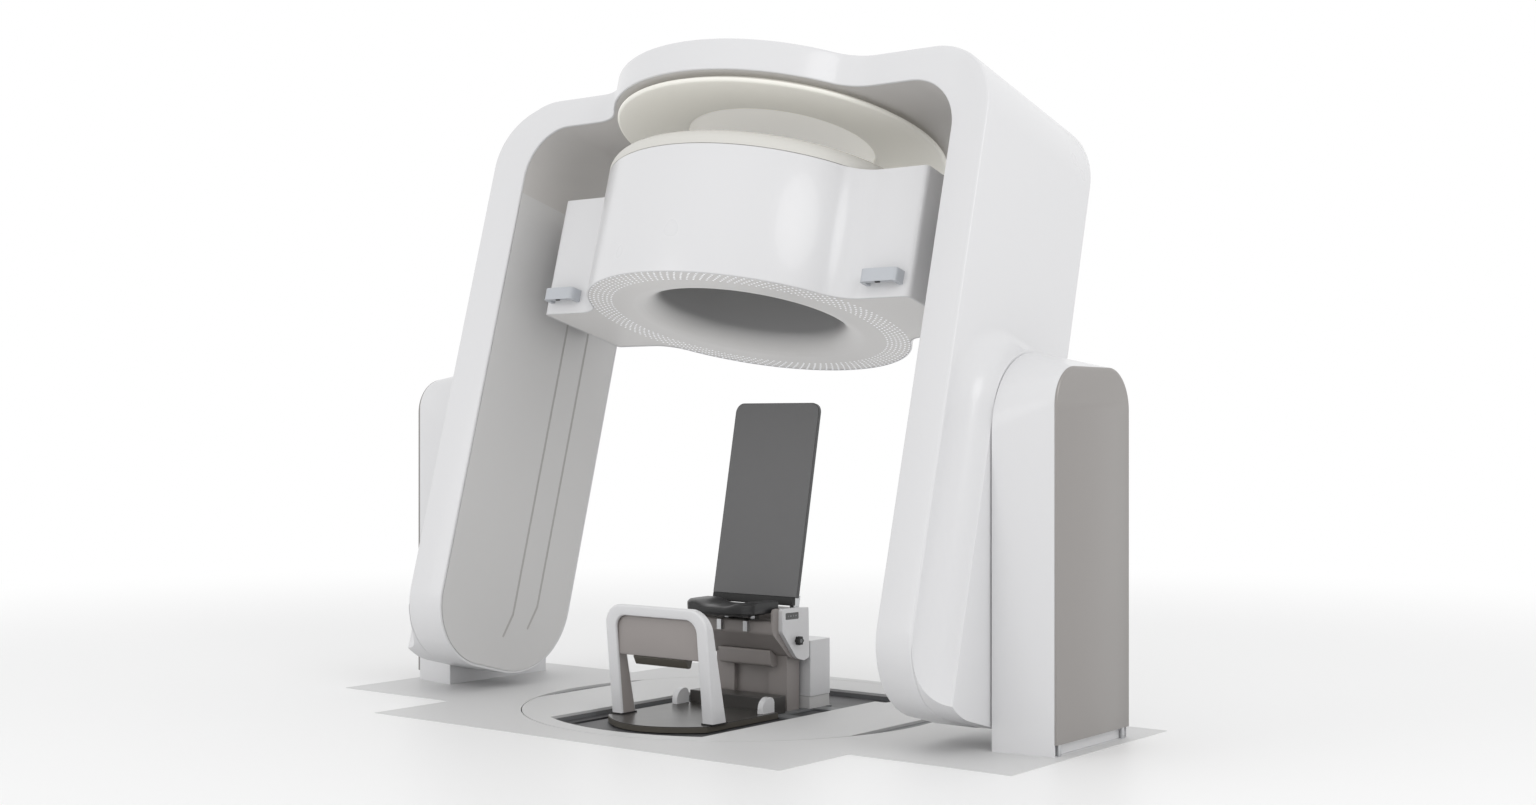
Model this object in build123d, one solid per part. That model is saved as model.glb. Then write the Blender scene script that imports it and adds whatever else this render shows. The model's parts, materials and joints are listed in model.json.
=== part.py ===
"""Upright CT scanner: a tilting portal carries a ring scanner that travels up and down
over a patient chair, which stands on a turntable let into the floor.

Millimetres, +Z up.  X runs from pedestal to pedestal, the open front faces -Y.  The
origin lies under the middle of the turntable, on the underside of the sunk base frame.
The portal and the ring are drawn upright about the pivot (x across, s front to back,
t up) and then leaned back by LEAN.
"""
import math
import os
from build123d import *

# ---------------------------------------------------------------- driving dimensions
LEAN = 15                  # backward lean of the portal at rest, degrees
RUN = 0.06                 # radial running clearance of shafts and races
GAP = 1.0                  # gap between covers that meet
FAR = 2000                 # beyond every piece, for cutting

# base, let into the floor
BASE_HEIGHT = 150          # underside of the frame to the walking surface
PLATE_THICK = 12
LEG_IN = 1229
LEG_WIDTH = 186
LEG_OUT = LEG_IN + LEG_WIDTH
FAIRING_DEPTH = 118        # the fairing fills the space between leg and pedestal
PEDESTAL_GAP = 6           # between the swinging fairing and the pedestal
PEDESTAL_IN = LEG_OUT + FAIRING_DEPTH + PEDESTAL_GAP
PEDESTAL_WIDTH = 271
PEDESTAL_OUT = PEDESTAL_IN + PEDESTAL_WIDTH
ARM_X = PEDESTAL_OUT + 46  # half length of the cross's arms under the pedestals
ARM_FRONT = 720
ARM_REAR = 550
NOSE_X = LEG_IN - 100      # half width of the cross's front and rear noses
TABLE_RADIUS = 969
TABLE_GAP = 5              # round gap between turntable and floor
WELL_RADIUS = TABLE_RADIUS + TABLE_GAP  # round well that holds the turntable
NOSE_FRONT = WELL_RADIUS + 182
NOSE_REAR = WELL_RADIUS + 66
WELL_FLOOR = 30            # thickness of the frame left under the well

# turntable
TABLE_THICK = 12
TABLE_CHORD = TABLE_RADIUS - 77  # the top plate is cut straight at this half width
RACE_RADIUS = 620          # middle of the slewing bearing
PIT_HALF_WIDTH = 430
PIT_FRONT_RADIUS = TABLE_RADIUS - 92
PIT_REAR = TABLE_RADIUS - 272
PIT_DEPTH = 30
DECK_THICK = 24
RAIL_X = PIT_HALF_WIDTH - 80  # deck rails that the chair travels on
RAIL_WIDTH = 24
RAIL_HEIGHT = 12
SLOT_WIDTH = 40            # slots in the deck above the rails

# pedestals
PIVOT_HEIGHT = 1250        # pivot axis above the walking surface
PEDESTAL_IN_HALF = 334
PEDESTAL_OUT_HALF = 298
PEDESTAL_IN_TOP = PIVOT_HEIGHT + 317
PEDESTAL_OUT_TOP = PIVOT_HEIGHT + 253
PEDESTAL_IN_CORNER = 326
PEDESTAL_OUT_CORNER = 155
PEDESTAL_WALL = 6
COVER_THICK = 12           # depth of the outer cover
COVER_EDGE = 5             # rounding of the outer cover
TOE_HEIGHT = 46
TOE_INSET = 24
TOE_SIDE = PEDESTAL_WALL + GAP

# portal, upright about the pivot
LEG_FRONT_IN = -453
LEG_FRONT_OUT = -484
LEG_REAR = 413
FOOT_CLEARANCE = 45        # under the hanging legs
LEG_BOTTOM = FOOT_CLEARANCE - PIVOT_HEIGHT
LEG_FRONT_CORNER = 312
LEG_REAR_CORNER = 370
RING_SIDE_TOP = 1070       # top of the drum's side and of its ears
SEAM_HEIGHT = RING_SIDE_TOP + 10
CANOPY_TOP = 1541
CANOPY_DEPTH = 143
CANOPY_CEILING = CANOPY_TOP - CANOPY_DEPTH
CANOPY_OUT_CORNER = 330
CANOPY_IN_CORNER = 240
RING_RADIUS = 753
BULGE_RADIUS = RING_RADIUS + 52
BULGE_CENTRE = -20
BULGE_BLEND = 220
SHELL_WALL = 8
RIM = 12                   # thickness of the front and rear walls
LINER = 8
SLOT_S = (32, 185)         # guide slots in the leg liners
GUIDE_SLOT = 13
SLOT_LOW = (-920, -855)    # where each slot starts to bend forwards
SLOT_END = -1030
SLOT_BEND = 37
SLOT_TOP = SEAM_HEIGHT - 14
LIGHT_RADIUS = RING_RADIUS + 25
LIGHT_PLANE = CANOPY_CEILING - 44
DOME_RADIUS = 440

# pivots
SHAFT_RADIUS = 80
FLANGE_RADIUS = SHAFT_RADIUS + 60  # flange that bolts the shaft to the leg's column
BEARING_RADIUS = SHAFT_RADIUS + 45
BEARING_IN = PEDESTAL_IN + 31
BEARING_WIDTH = 90
BOSS_HALF = 318            # half width and height of the fairing where it meets the pedestal
BOSS_FLARE = (150, 80, 74) # how far it spreads to front, rear and top where it meets the leg
BOSS_SPREAD = 50           # the flare has mostly run out this far from the leg
BOSS_RUN_OUT = 0.2         # share of the flare left there
BOSS_ROUND = 0.93          # share of the fairing's half width that its top corners take
BOSS_INSET = 3             # the fairing's foot is this much inside the leg's outline

# ring scanner, upright about the pivot
RING_S = -40
RING_BOTTOM = 489
RING_TOP = 1150
RING_WALL = 8
THROAT = 425
LIP_RADIUS = THROAT + 115
LIP_EDGE = THROAT + 71
FLARE_HEIGHT = 96
EAR_X = LEG_IN - 179
EAR_FRONT = -315
EAR_REAR = 235
EAR_BLEND = 170
EAR_CORNER = 26
SHOULDER = 66              # rounding of the drum's top, outside and round the bore
INNER_SHOULDER = 40
COVER_LIFT = 3             # the bottom cover sits this far inside the shell's lower edge
COVER_SHEET = 6
ROTOR_IN = THROAT + 27
ROTOR_OUT = RING_RADIUS - 53
ROTOR_LOW = RING_BOTTOM + 51
SPIN_RADIUS = ROTOR_OUT - 20  # where the two races of the ring's bearing meet
RACE_SECTION = 40
ROTOR_HIGH = 960

# lift guides in the legs
RAIL_BACK = LEG_IN + 93
GUIDE_RAIL = (20, 20)      # width along s, height along x
GUIDE_LOW = -860
GUIDE_HIGH = 1150
SCREW_RADIUS = 12.5
SCREW_X = RAIL_BACK - 21
SCREW_S = 108.5
BAR_X = (EAR_X - 222, EAR_X - 38)  # grab bar
BAR_LOW = RING_BOTTOM + 53
BAR_HIGH = BAR_LOW + 58
BAR_REACH = 62
BAR_THICK = 20

# chair, heights above the walking surface
BODY_HALF = 218            # half width of the beam between the side covers
COVER_SHELL = 32
COVER_X = BODY_HALF + COVER_SHELL  # side covers of the chair body
FOOT_HALF = COVER_X + 32
FOOT_FRONT = -700
FOOT_CORNER = -555
FOOT_REAR = -60
FOOT_THICK = 26
SHIN_OUT = FOOT_HALF + 8
SHIN_IN = SHIN_OUT - 60
SHIN_TOP = 490
SHIN_INNER_TOP = 443
SEAT_HEIGHT = 482
BACK_HALF = COVER_X - 5
BACK_FOOT = (126, 491)
BACK_HEAD = (304, 1375)
BACK_THICK = 16
BACK_CORNER = 45
COLUMN_OUT = BODY_HALF - 13
COLUMN_IN = COLUMN_OUT - 105  # telescopic columns, inner and outer faces
COLUMN_FRONT = 105
COLUMN_REAR = 196
COLUMN_TOP = 390
COLUMN_WALL = 5
BOX_X = COVER_X
BOX_FRONT = 222
BOX_REAR = 386
BOX_TOP = 290
BOX_SPLIT = 34
CHASSIS_LOW = 1 - PIT_DEPTH  # the chair's chassis plate lies on the turntable's deck
CHASSIS_HIGH = CHASSIS_LOW + 8


# ---------------------------------------------------------------- helpers
def block(x0, x1, y0, y1, z0, z1):
    """Box between two corners."""
    middle = Pos((x0 + x1) / 2, (y0 + y1) / 2, (z0 + z1) / 2)
    return middle * Box(x1 - x0, y1 - y0, z1 - z0)


def rounded(points, radii):
    """Face inside a polygon, each corner rounded by its own radius."""
    face = make_face(Polyline(*points, close=True))
    for point, radius in zip(points, radii):
        if radius:
            corner = face.vertices().sort_by_distance(Vector(*point))[0]
            face = fillet(corner, radius)
    return face


def along_x(face, x0, x1):
    """Extrude a (y, z) face from x0 to x1."""
    return extrude(Plane.YZ.offset(x0) * face, x1 - x0)


def along_y(face, y0, y1):
    """Extrude an (x, z) face from y0 to y1."""
    return extrude(Plane((0, y1, 0), (1, 0, 0), (0, -1, 0)) * face, y1 - y0)


def along_z(face, z0, z1):
    """Extrude an (x, y) face from z0 to z1."""
    return extrude(Pos(0, 0, z0) * face, z1 - z0)


def rod_x(radius, x0, x1, y=0, z=0):
    return Pos((x0 + x1) / 2, y, z) * Rot(0, 90, 0) * Cylinder(radius, x1 - x0)


def rod_y(radius, y0, y1, x=0, z=0):
    return Pos(x, (y0 + y1) / 2, z) * Rot(90, 0, 0) * Cylinder(radius, y1 - y0)


def rod_z(radius, z0, z1, x=0, y=0):
    return Pos(x, y, (z0 + z1) / 2) * Cylinder(radius, z1 - z0)


def ring_z(inner, outer, z0, z1, x=0, y=0):
    return rod_z(outer, z0, z1, x, y) - rod_z(inner, z0 - 1, z1 + 1, x, y)


def other_side(shape):
    """Mirror image across the plane X = 0."""
    return mirror(shape, Plane.YZ)


LEANED = Location((0, 0, BASE_HEIGHT + PIVOT_HEIGHT), (-LEAN, 0, 0))
RAISED = Location((0, 0, BASE_HEIGHT))


def solids_of(shapes):
    """All separate solids of some shapes, in a flat list."""
    return [solid for shape in shapes for solid in shape.solids()]


def save(name, *shapes, at=Location()):
    """Write a node: its solids, moved from their drawing frame into the part's."""
    moved = [at * solid for solid in solids_of(shapes)]
    export_step(moved[0] if len(moved) == 1 else Compound(children=moved), f"parts/{name}.step")


def save_pair(name, *shapes, at=Location()):
    """Write one node with the right-hand solids and their mirror images on the left."""
    save(name, *shapes, *[other_side(shape) for shape in shapes], at=at)


def save_sides(name, shape, at=Location()):
    """Write the right-hand node and its mirror image on the left as two nodes."""
    save(f"{name}_right", shape, at=at)
    save(f"{name}_left", other_side(shape), at=at)


# ---------------------------------------------------------------- base and floor
TOP = BASE_HEIGHT
WELL_TOP = TOP - PLATE_THICK


def cross(inset):
    """Plan of the sunk base: arms under the pedestals, noses to front and rear."""
    arms = Pos(0, (ARM_REAR - ARM_FRONT) / 2) * Rectangle(
        2 * (ARM_X - inset), ARM_FRONT + ARM_REAR - 2 * inset)
    noses = Pos(0, (NOSE_REAR - NOSE_FRONT) / 2) * Rectangle(
        2 * (NOSE_X - inset), NOSE_FRONT + NOSE_REAR - 2 * inset)
    return arms + noses


ANCHOR_X = PEDESTAL_OUT - 110
ANCHOR_Y = (-620, 450)
ANCHOR_RADIUS = 11
ANCHOR_PLATE = 14          # thickness of the frame under the anchor holes
POCKET_X = (LEG_IN - 49, ARM_X - 22)
POCKET_Y = (-700, 530)
POST_X = (PEDESTAL_IN + 11, PEDESTAL_OUT - 6)  # solid part of the frame under each pedestal
POST_HALF = 300


def base_and_floor():
    frame = along_z(cross(GAP), 0, WELL_TOP)
    frame -= rod_z(WELL_RADIUS, WELL_FLOOR, TOP)
    pocket = block(*POCKET_X, *POCKET_Y, ANCHOR_PLATE, TOP)
    pocket -= block(*POST_X, -POST_HALF, POST_HALF, 0, TOP)
    for y in ANCHOR_Y:
        pocket += rod_z(ANCHOR_RADIUS, -1, TOP, ANCHOR_X, y)
    save("base_frame", frame - pocket - other_side(pocket))
    plate = along_z(cross(0), WELL_TOP, TOP) - rod_z(WELL_RADIUS, 0, TOP + 1)
    save("floor_plate", plate)


# ---------------------------------------------------------------- turntable
PAN_THICK = 12
DECK_TOP = TOP - PIT_DEPTH
DECK_LOW = DECK_TOP - DECK_THICK
FRAME_LOW = DECK_LOW - PAN_THICK
RACE_WIDTH = 45
RACE_LIFT = 4              # the outer race stops this far under the turning frame
MOTOR_IN = 300
MOTOR_OUT = 380
PIT_NOTCH_X = PIT_HALF_WIDTH + 63
PIT_NOTCH_Y = PIT_REAR - 219
SLOT_FRONT = 177 - PIT_FRONT_RADIUS
SLOT_REAR = PIT_REAR - 37


def pit(inset):
    """Plan of the recess in the turntable's top."""
    width = 2 * (PIT_HALF_WIDTH - inset)
    face = Pos(0, (PIT_REAR - PIT_FRONT_RADIUS) / 2) * Rectangle(
        width, PIT_REAR + PIT_FRONT_RADIUS - 2 * inset)
    face &= Circle(PIT_FRONT_RADIUS - inset)
    notch = Pos(0, (PIT_REAR + PIT_NOTCH_Y) / 2) * Rectangle(
        2 * (PIT_NOTCH_X - inset), PIT_REAR - PIT_NOTCH_Y - 2 * inset)
    return face + notch


def turntable():
    top = along_z(Circle(TABLE_RADIUS), TOP - TABLE_THICK, TOP)
    top &= block(-TABLE_CHORD, TABLE_CHORD, -TABLE_RADIUS, TABLE_RADIUS, 0, TOP)
    save("turntable_plate", top - along_z(pit(0), 0, TOP + 1))
    frame = rod_z(TABLE_RADIUS, FRAME_LOW, TOP - TABLE_THICK)
    save("turntable_frame", frame - along_z(pit(0), DECK_LOW, TOP))
    deck = along_z(pit(GAP), DECK_LOW, DECK_TOP)
    rails = []
    for x in (-RAIL_X, RAIL_X):
        half = SLOT_WIDTH / 2
        deck -= block(x - half, x + half, SLOT_FRONT, SLOT_REAR, DECK_LOW - 1, TOP)
        rails.append(block(x - RAIL_WIDTH / 2, x + RAIL_WIDTH / 2, SLOT_FRONT, SLOT_REAR,
                           DECK_LOW, DECK_LOW + RAIL_HEIGHT))
    save("pit_deck", deck, *rails)


def slewing():
    outer = ring_z(RACE_RADIUS, RACE_RADIUS + RACE_WIDTH, WELL_FLOOR, FRAME_LOW - RACE_LIFT)
    save("slewing_race_outer", outer)
    inner = ring_z(RACE_RADIUS - RACE_WIDTH, RACE_RADIUS - RUN,
                   WELL_FLOOR + RACE_LIFT, FRAME_LOW)
    save("slewing_race_inner", inner)
    save("slew_motor", ring_z(MOTOR_IN, MOTOR_OUT, WELL_FLOOR, FRAME_LOW - RACE_LIFT))


# ---------------------------------------------------------------- pedestals
POST_IN = PEDESTAL_IN + 27  # welded post inside each pedestal
POST_OUT = POST_IN + 98
POST_WALL = 10
POST_DEPTH = 200
POST_COLLAR = 30           # solid part of the post under the bearing
POST_TOP = PIVOT_HEIGHT + 150
SHAFT_HOLE = SHAFT_RADIUS + 12
DRIVE_RADIUS = SHAFT_RADIUS + 70
DRIVE_OUT = POST_OUT + 48
MOTOR_RADIUS = 58
MOTOR_END = DRIVE_OUT + 36
SHAFT_END = DRIVE_OUT - 4
LEVELLER_RADIUS = 9
LEVELLER_Y = 262
LEVELLER_INSET = 13        # from the outer face of the cover
COVER_CROWN = 30           # solid band behind the top edge of the cover


def pedestal_outline(half, top, corner, inset=0):
    """Pedestal seen along X: upright sides, round shoulders."""
    half -= inset
    top -= inset
    corner -= inset
    points = [(-half, 0), (half, 0), (half, top), (-half, top)]
    return rounded(points, [0, 0, corner, corner])


def pedestal_block(x_out, half_out, top_out, corner_out, inset):
    """Tapered pedestal between its inner face and the plane x_out."""
    inner = pedestal_outline(PEDESTAL_IN_HALF, PEDESTAL_IN_TOP, PEDESTAL_IN_CORNER, inset)
    outer = pedestal_outline(half_out, top_out, corner_out, inset)
    return loft([Plane.YZ.offset(PEDESTAL_IN) * inner, Plane.YZ.offset(x_out) * outer])


def pedestals():
    x_seam = PEDESTAL_OUT - COVER_THICK
    outline = (PEDESTAL_OUT_HALF, PEDESTAL_OUT_TOP, PEDESTAL_OUT_CORNER)
    body = pedestal_block(x_seam, *outline, 0)
    body -= pedestal_block(x_seam + 0.01, *outline, PEDESTAL_WALL) & block(
        PEDESTAL_IN + PEDESTAL_WALL, x_seam + 1, -FAR, FAR, -1, FAR)
    body -= rod_x(SHAFT_HOLE, PEDESTAL_IN - 1, PEDESTAL_IN + 2 * PEDESTAL_WALL, z=PIVOT_HEIGHT)
    x_toe = PEDESTAL_OUT - TOE_INSET
    body -= block(x_toe - PEDESTAL_WALL, PEDESTAL_OUT, -FAR, FAR, -1, TOE_HEIGHT)

    full = along_x(pedestal_outline(*outline), x_seam + GAP, PEDESTAL_OUT)
    rim = [edge for edge in full.faces().sort_by(Axis.X)[-1].edges() if edge.center().Z > 1]
    full = fillet(rim, COVER_EDGE)
    hollow = along_x(pedestal_outline(*outline, PEDESTAL_WALL), x_seam,
                     PEDESTAL_OUT - PEDESTAL_WALL)
    hollow -= block(PEDESTAL_OUT - COVER_CROWN, PEDESTAL_OUT, -FAR, FAR,
                    PEDESTAL_OUT_TOP - COVER_CROWN, FAR)
    cover = full - hollow
    cover &= block(x_seam, PEDESTAL_OUT, -FAR, FAR, TOE_HEIGHT, FAR)
    save_pair("pedestal_covers", cover, at=RAISED)

    toe_half = PEDESTAL_OUT_HALF - TOE_SIDE
    toe = block(x_toe - PEDESTAL_WALL, x_toe, -toe_half, toe_half, 0, TOE_HEIGHT - GAP)
    save_pair("pedestal_bodies", body, toe, at=RAISED)

    post = block(POST_IN, POST_OUT, -POST_DEPTH, POST_DEPTH, 0, POST_TOP)
    post -= block(POST_IN + POST_WALL, POST_OUT - POST_WALL, -POST_DEPTH + POST_WALL,
                  POST_DEPTH - POST_WALL, -1, PIVOT_HEIGHT - BEARING_RADIUS - POST_COLLAR)
    post -= rod_x(BEARING_RADIUS, POST_IN - 1, POST_OUT + 1, z=PIVOT_HEIGHT)
    save_pair("pedestal_posts", post, at=RAISED)

    bearing = rod_x(BEARING_RADIUS, BEARING_IN, BEARING_IN + BEARING_WIDTH, z=PIVOT_HEIGHT)
    bearing -= rod_x(SHAFT_RADIUS + RUN, POST_IN, POST_OUT, z=PIVOT_HEIGHT)
    save_pair("tilt_bearings", bearing, at=RAISED)

    drive = rod_x(DRIVE_RADIUS, POST_OUT, DRIVE_OUT, z=PIVOT_HEIGHT)
    drive -= rod_x(SHAFT_RADIUS + RUN, POST_OUT - 1, SHAFT_END + 1, z=PIVOT_HEIGHT)
    motor = rod_x(MOTOR_RADIUS, DRIVE_OUT, MOTOR_END, z=PIVOT_HEIGHT)
    save_pair("tilt_drives", drive, motor, at=RAISED)

    feet = [rod_z(LEVELLER_RADIUS, 0, TOE_HEIGHT - GAP, PEDESTAL_OUT - LEVELLER_INSET, y)
            for y in (-LEVELLER_Y, LEVELLER_Y)]
    save_pair("levelling_feet", *feet, at=RAISED)


# ---------------------------------------------------------------- portal


def leg_outline(inset=0, top=SEAM_HEIGHT):
    """Leg seen along X, in (s, t)."""
    points = [(LEG_FRONT_OUT + inset, LEG_BOTTOM + inset), (LEG_REAR - inset, LEG_BOTTOM + inset),
              (LEG_REAR - inset, top), (LEG_FRONT_OUT + inset, top)]
    return rounded(points, [LEG_FRONT_CORNER - inset, LEG_REAR_CORNER - inset, 0, 0])


def plan_outline(inset=0):
    """Portal seen from above: straight over the legs, with a round bulge front and rear
    that runs into the straight parts through a hollow blend."""
    centre = BULGE_CENTRE
    reach = BULGE_RADIUS + BULGE_BLEND
    halves = []
    for line in (LEG_FRONT_IN - centre, LEG_REAR - centre):
        side = math.copysign(1, line)
        depth = abs(line) + BULGE_BLEND
        run = math.sqrt(reach ** 2 - depth ** 2)
        angle = math.acos(depth / reach) / 2
        start = (run, centre + line)
        middle = (run - BULGE_BLEND * math.sin(angle),
                  centre + side * (depth - BULGE_BLEND * math.cos(angle)))
        touch = (run * BULGE_RADIUS / reach, centre + side * depth * BULGE_RADIUS / reach)
        peak = (0, centre + side * BULGE_RADIUS)
        halves.append((start, middle, touch, peak))
    (a, b, c, d), (e, f, g, h) = halves
    flip = [(-x, y) for x, y in (a, b, c, e, f, g)]
    fa, fb, fc, fe, ff, fg = flip
    front_out = (LEG_OUT, LEG_FRONT_OUT)
    front_in = (LEG_IN, LEG_FRONT_IN)
    rear = (LEG_OUT, LEG_REAR)
    far_in, far_out, far_rear = [(-x, y) for x, y in (front_in, front_out, rear)]
    wire = (Line(rear, front_out) + Line(front_out, front_in) + Line(front_in, a)
            + ThreePointArc(a, b, c) + ThreePointArc(c, d, fc) + ThreePointArc(fc, fb, fa)
            + Line(fa, far_in) + Line(far_in, far_out) + Line(far_out, far_rear)
            + Line(far_rear, fe) + ThreePointArc(fe, ff, fg) + ThreePointArc(fg, h, g)
            + ThreePointArc(g, f, e) + Line(e, rear))
    face = make_face(wire)
    return offset(face, amount=-inset, kind=Kind.INTERSECTION) if inset else face


def arch_outline(half, top, corner, foot):
    """Upside-down U seen along Y, in (x, t), down to t = foot."""
    points = [(-half, foot), (half, foot), (half, top), (-half, top)]
    return rounded(points, [0, 0, corner, corner])


def guide_slot(s, low):
    """Slot in a leg liner whose lower end bends forwards."""
    radius = GUIDE_SLOT / 2
    bend = Vector(s, low)
    face = None
    for other in (Vector(s, SLOT_TOP), Vector(s - SLOT_BEND, SLOT_END)):
        ends = [Pos(point.X, point.Y) * Circle(radius) for point in (bend, other)]
        strip = make_hull(ends[0].edges() + ends[1].edges())
        face = strip if face is None else face + strip
    return face


def legs():
    wide = block(LEG_IN, LEG_OUT, -FAR, FAR, -FAR, SEAM_HEIGHT - GAP / 2)
    shell = along_x(leg_outline(top=FAR / 1.5), LEG_IN, LEG_OUT)
    shell &= along_z(plan_outline(), -FAR, FAR)
    cavity = along_x(leg_outline(RIM, FAR / 1.5), LEG_IN - 1, LEG_OUT - SHELL_WALL)
    taper = make_face(Polyline((LEG_IN - 1, LEG_FRONT_IN + RIM), (LEG_OUT, LEG_FRONT_OUT + RIM),
                               (LEG_OUT, FAR), (LEG_IN - 1, FAR), close=True))
    cavity &= along_z(taper, -FAR, FAR)
    shell = (shell - cavity) & wide
    shell -= rod_x(SHAFT_HOLE, LEG_OUT - 2 * SHELL_WALL, LEG_OUT + 1)
    save_pair("leg_shells", shell, at=LEANED)

    liner = along_x(leg_outline(RIM + GAP), LEG_IN, LEG_IN + LINER)
    liner &= block(0, FAR, LEG_FRONT_IN + RIM + GAP, FAR, -FAR, SEAM_HEIGHT - GAP / 2)
    for s, low in zip(SLOT_S, SLOT_LOW):
        liner -= along_x(guide_slot(s, low), LEG_IN - 1, LEG_IN + LINER + 1)
    save_pair("leg_liners", liner, at=LEANED)


COLUMN_FACE = LEG_OUT - 19  # outer face of the steel column in each leg
COLUMN_S = (-60, 280)
COLUMN_LOW = -950
COLUMN_BEND = 1225
BEAM_HALF = LEG_IN - 34
BEAM_LOW = CANOPY_CEILING + 14
BEAM_HIGH = CANOPY_TOP - 71
STEEL_WALL = 10


def boss_outline(share, inset=0):
    """Fairing round the pivot, seen along X, with a share of its flare."""
    front, rear, top = [BOSS_HALF + share * grow - inset for grow in BOSS_FLARE]
    points = [(-front, top), (rear, top), (rear, -FAR), (-front, -FAR)]
    corner = BOSS_ROUND * (BOSS_HALF + share * BOSS_FLARE[2] - inset)
    return rounded(points, [corner, corner, 0, 0])


def bosses():
    x_far = PEDESTAL_IN - PEDESTAL_GAP
    boss = loft([Plane.YZ.offset(LEG_OUT) * boss_outline(1),
                 Plane.YZ.offset(LEG_OUT + BOSS_SPREAD) * boss_outline(BOSS_RUN_OUT),
                 Plane.YZ.offset(x_far) * boss_outline(0)], ruled=True)
    boss &= along_x(leg_outline(BOSS_INSET, FAR), LEG_OUT, x_far)
    hollow = along_x(boss_outline(0, SHELL_WALL), LEG_OUT - 1, x_far - SHELL_WALL)
    boss -= hollow & along_x(leg_outline(BOSS_INSET + SHELL_WALL, FAR), 0, FAR)
    boss -= rod_x(SHAFT_HOLE, LEG_OUT - 1, PEDESTAL_IN)
    save_pair("pivot_fairings", boss, at=LEANED)
    shaft = rod_x(SHAFT_RADIUS, COLUMN_FACE, SHAFT_END)
    shaft += rod_x(FLANGE_RADIUS, COLUMN_FACE, COLUMN_FACE + SHELL_WALL)
    save_pair("pivot_shafts", shaft, at=LEANED)


def canopy():
    body = along_y(arch_outline(LEG_OUT, CANOPY_TOP, CANOPY_OUT_CORNER, 0), -FAR, FAR)
    body -= along_y(arch_outline(LEG_IN, CANOPY_CEILING, CANOPY_IN_CORNER, -1), -FAR, FAR)
    body &= along_z(plan_outline(), SEAM_HEIGHT + GAP / 2, FAR)
    hollow = along_y(arch_outline(LEG_OUT - SHELL_WALL, CANOPY_TOP - SHELL_WALL,
                                  CANOPY_OUT_CORNER - SHELL_WALL, 0), -FAR, FAR)
    hollow &= along_z(plan_outline(RIM), 0, FAR)
    save("canopy_shell", body - hollow, at=LEANED)

    liner = along_y(arch_outline(LEG_IN + LINER, CANOPY_CEILING + LINER,
                                 CANOPY_IN_CORNER + LINER, 0), -FAR, FAR)
    liner -= along_y(arch_outline(LEG_IN, CANOPY_CEILING, CANOPY_IN_CORNER, -1), -FAR, FAR)
    liner &= along_z(plan_outline(RIM + GAP), SEAM_HEIGHT + GAP / 2, FAR)
    save("canopy_liner", liner, at=LEANED)


LIGHT_EDGE = 20
DOME_RISE = 22


def ceiling_light():
    plate = CANOPY_CEILING - LIGHT_PLANE
    face = rounded([(DOME_RADIUS, LIGHT_PLANE), (LIGHT_RADIUS, LIGHT_PLANE),
                    (LIGHT_RADIUS, LIGHT_PLANE + plate), (DOME_RADIUS, LIGHT_PLANE + plate)],
                   [LIGHT_EDGE, LIGHT_EDGE, 0, 0])
    ring = Pos(0, BULGE_CENTRE, 0) * revolve(Plane.XZ * face, Axis.Z, 360)
    dome = rod_z(DOME_RADIUS - GAP, LIGHT_PLANE + DOME_RISE, CANOPY_CEILING, 0, BULGE_CENTRE)
    save("ceiling_light", ring, dome, at=LEANED)


KNEE_RISE = 8
KNEE_REACH = 48


def portal_frame():
    s0, s1 = COLUMN_S
    column = block(RAIL_BACK, COLUMN_FACE, s0, s1, COLUMN_LOW, COLUMN_BEND)
    column -= block(RAIL_BACK + STEEL_WALL, COLUMN_FACE - STEEL_WALL, s0 + STEEL_WALL,
                    s1 - STEEL_WALL, COLUMN_LOW - 1, COLUMN_BEND - STEEL_WALL)
    beam = block(-BEAM_HALF, BEAM_HALF, s0, s1, BEAM_LOW, BEAM_HIGH)
    beam -= block(-BEAM_HALF - 1, BEAM_HALF + 1, s0 + STEEL_WALL, s1 - STEEL_WALL,
                  BEAM_LOW + STEEL_WALL, BEAM_HIGH - STEEL_WALL)
    knee = make_face(Polyline((RAIL_BACK, COLUMN_BEND), (COLUMN_FACE, COLUMN_BEND),
                              (COLUMN_FACE, COLUMN_BEND + KNEE_RISE),
                              (BEAM_HALF + KNEE_REACH, BEAM_HIGH),
                              (BEAM_HALF, BEAM_HIGH), (BEAM_HALF, BEAM_LOW), close=True))
    knee = along_y(knee, s0, s1)
    save("portal_frame", beam, column, other_side(column), knee, other_side(knee), at=LEANED)


# ---------------------------------------------------------------- lift
SCREW_LOW = -840
SCREW_HIGH = 1100
SCREW_MOTOR = (30, 32)     # half width of the lift motor along x and s
SCREW_MOTOR_HIGH = 90
SCREW_BEARING = (20, 25)
SCREW_BEARING_HIGH = 40


def lift_guides():
    width, depth = GUIDE_RAIL
    rails = [block(RAIL_BACK - depth, RAIL_BACK, s - width / 2, s + width / 2,
                   GUIDE_LOW, GUIDE_HIGH) for s in SLOT_S]
    save_pair("guide_rails", *rails, at=LEANED)
    screw = rod_z(SCREW_RADIUS, SCREW_LOW, SCREW_HIGH, SCREW_X, SCREW_S)
    save_sides("lift_screw", screw, at=LEANED)
    half_x, half_s = SCREW_BEARING
    high = SCREW_LOW + SCREW_BEARING_HIGH
    bearing = block(SCREW_X - half_x, RAIL_BACK, SCREW_S - half_s, SCREW_S + half_s,
                    SCREW_LOW, high)
    bearing -= rod_z(SCREW_RADIUS + RUN, SCREW_LOW - 1, high + 1, SCREW_X, SCREW_S)
    half_x, half_s = SCREW_MOTOR
    motor = block(SCREW_X - half_x, RAIL_BACK, SCREW_S - half_s, SCREW_S + half_s,
                  SCREW_LOW - SCREW_MOTOR_HIGH, SCREW_LOW - GAP)
    save_pair("lift_motors", motor, bearing, at=LEANED)


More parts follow.
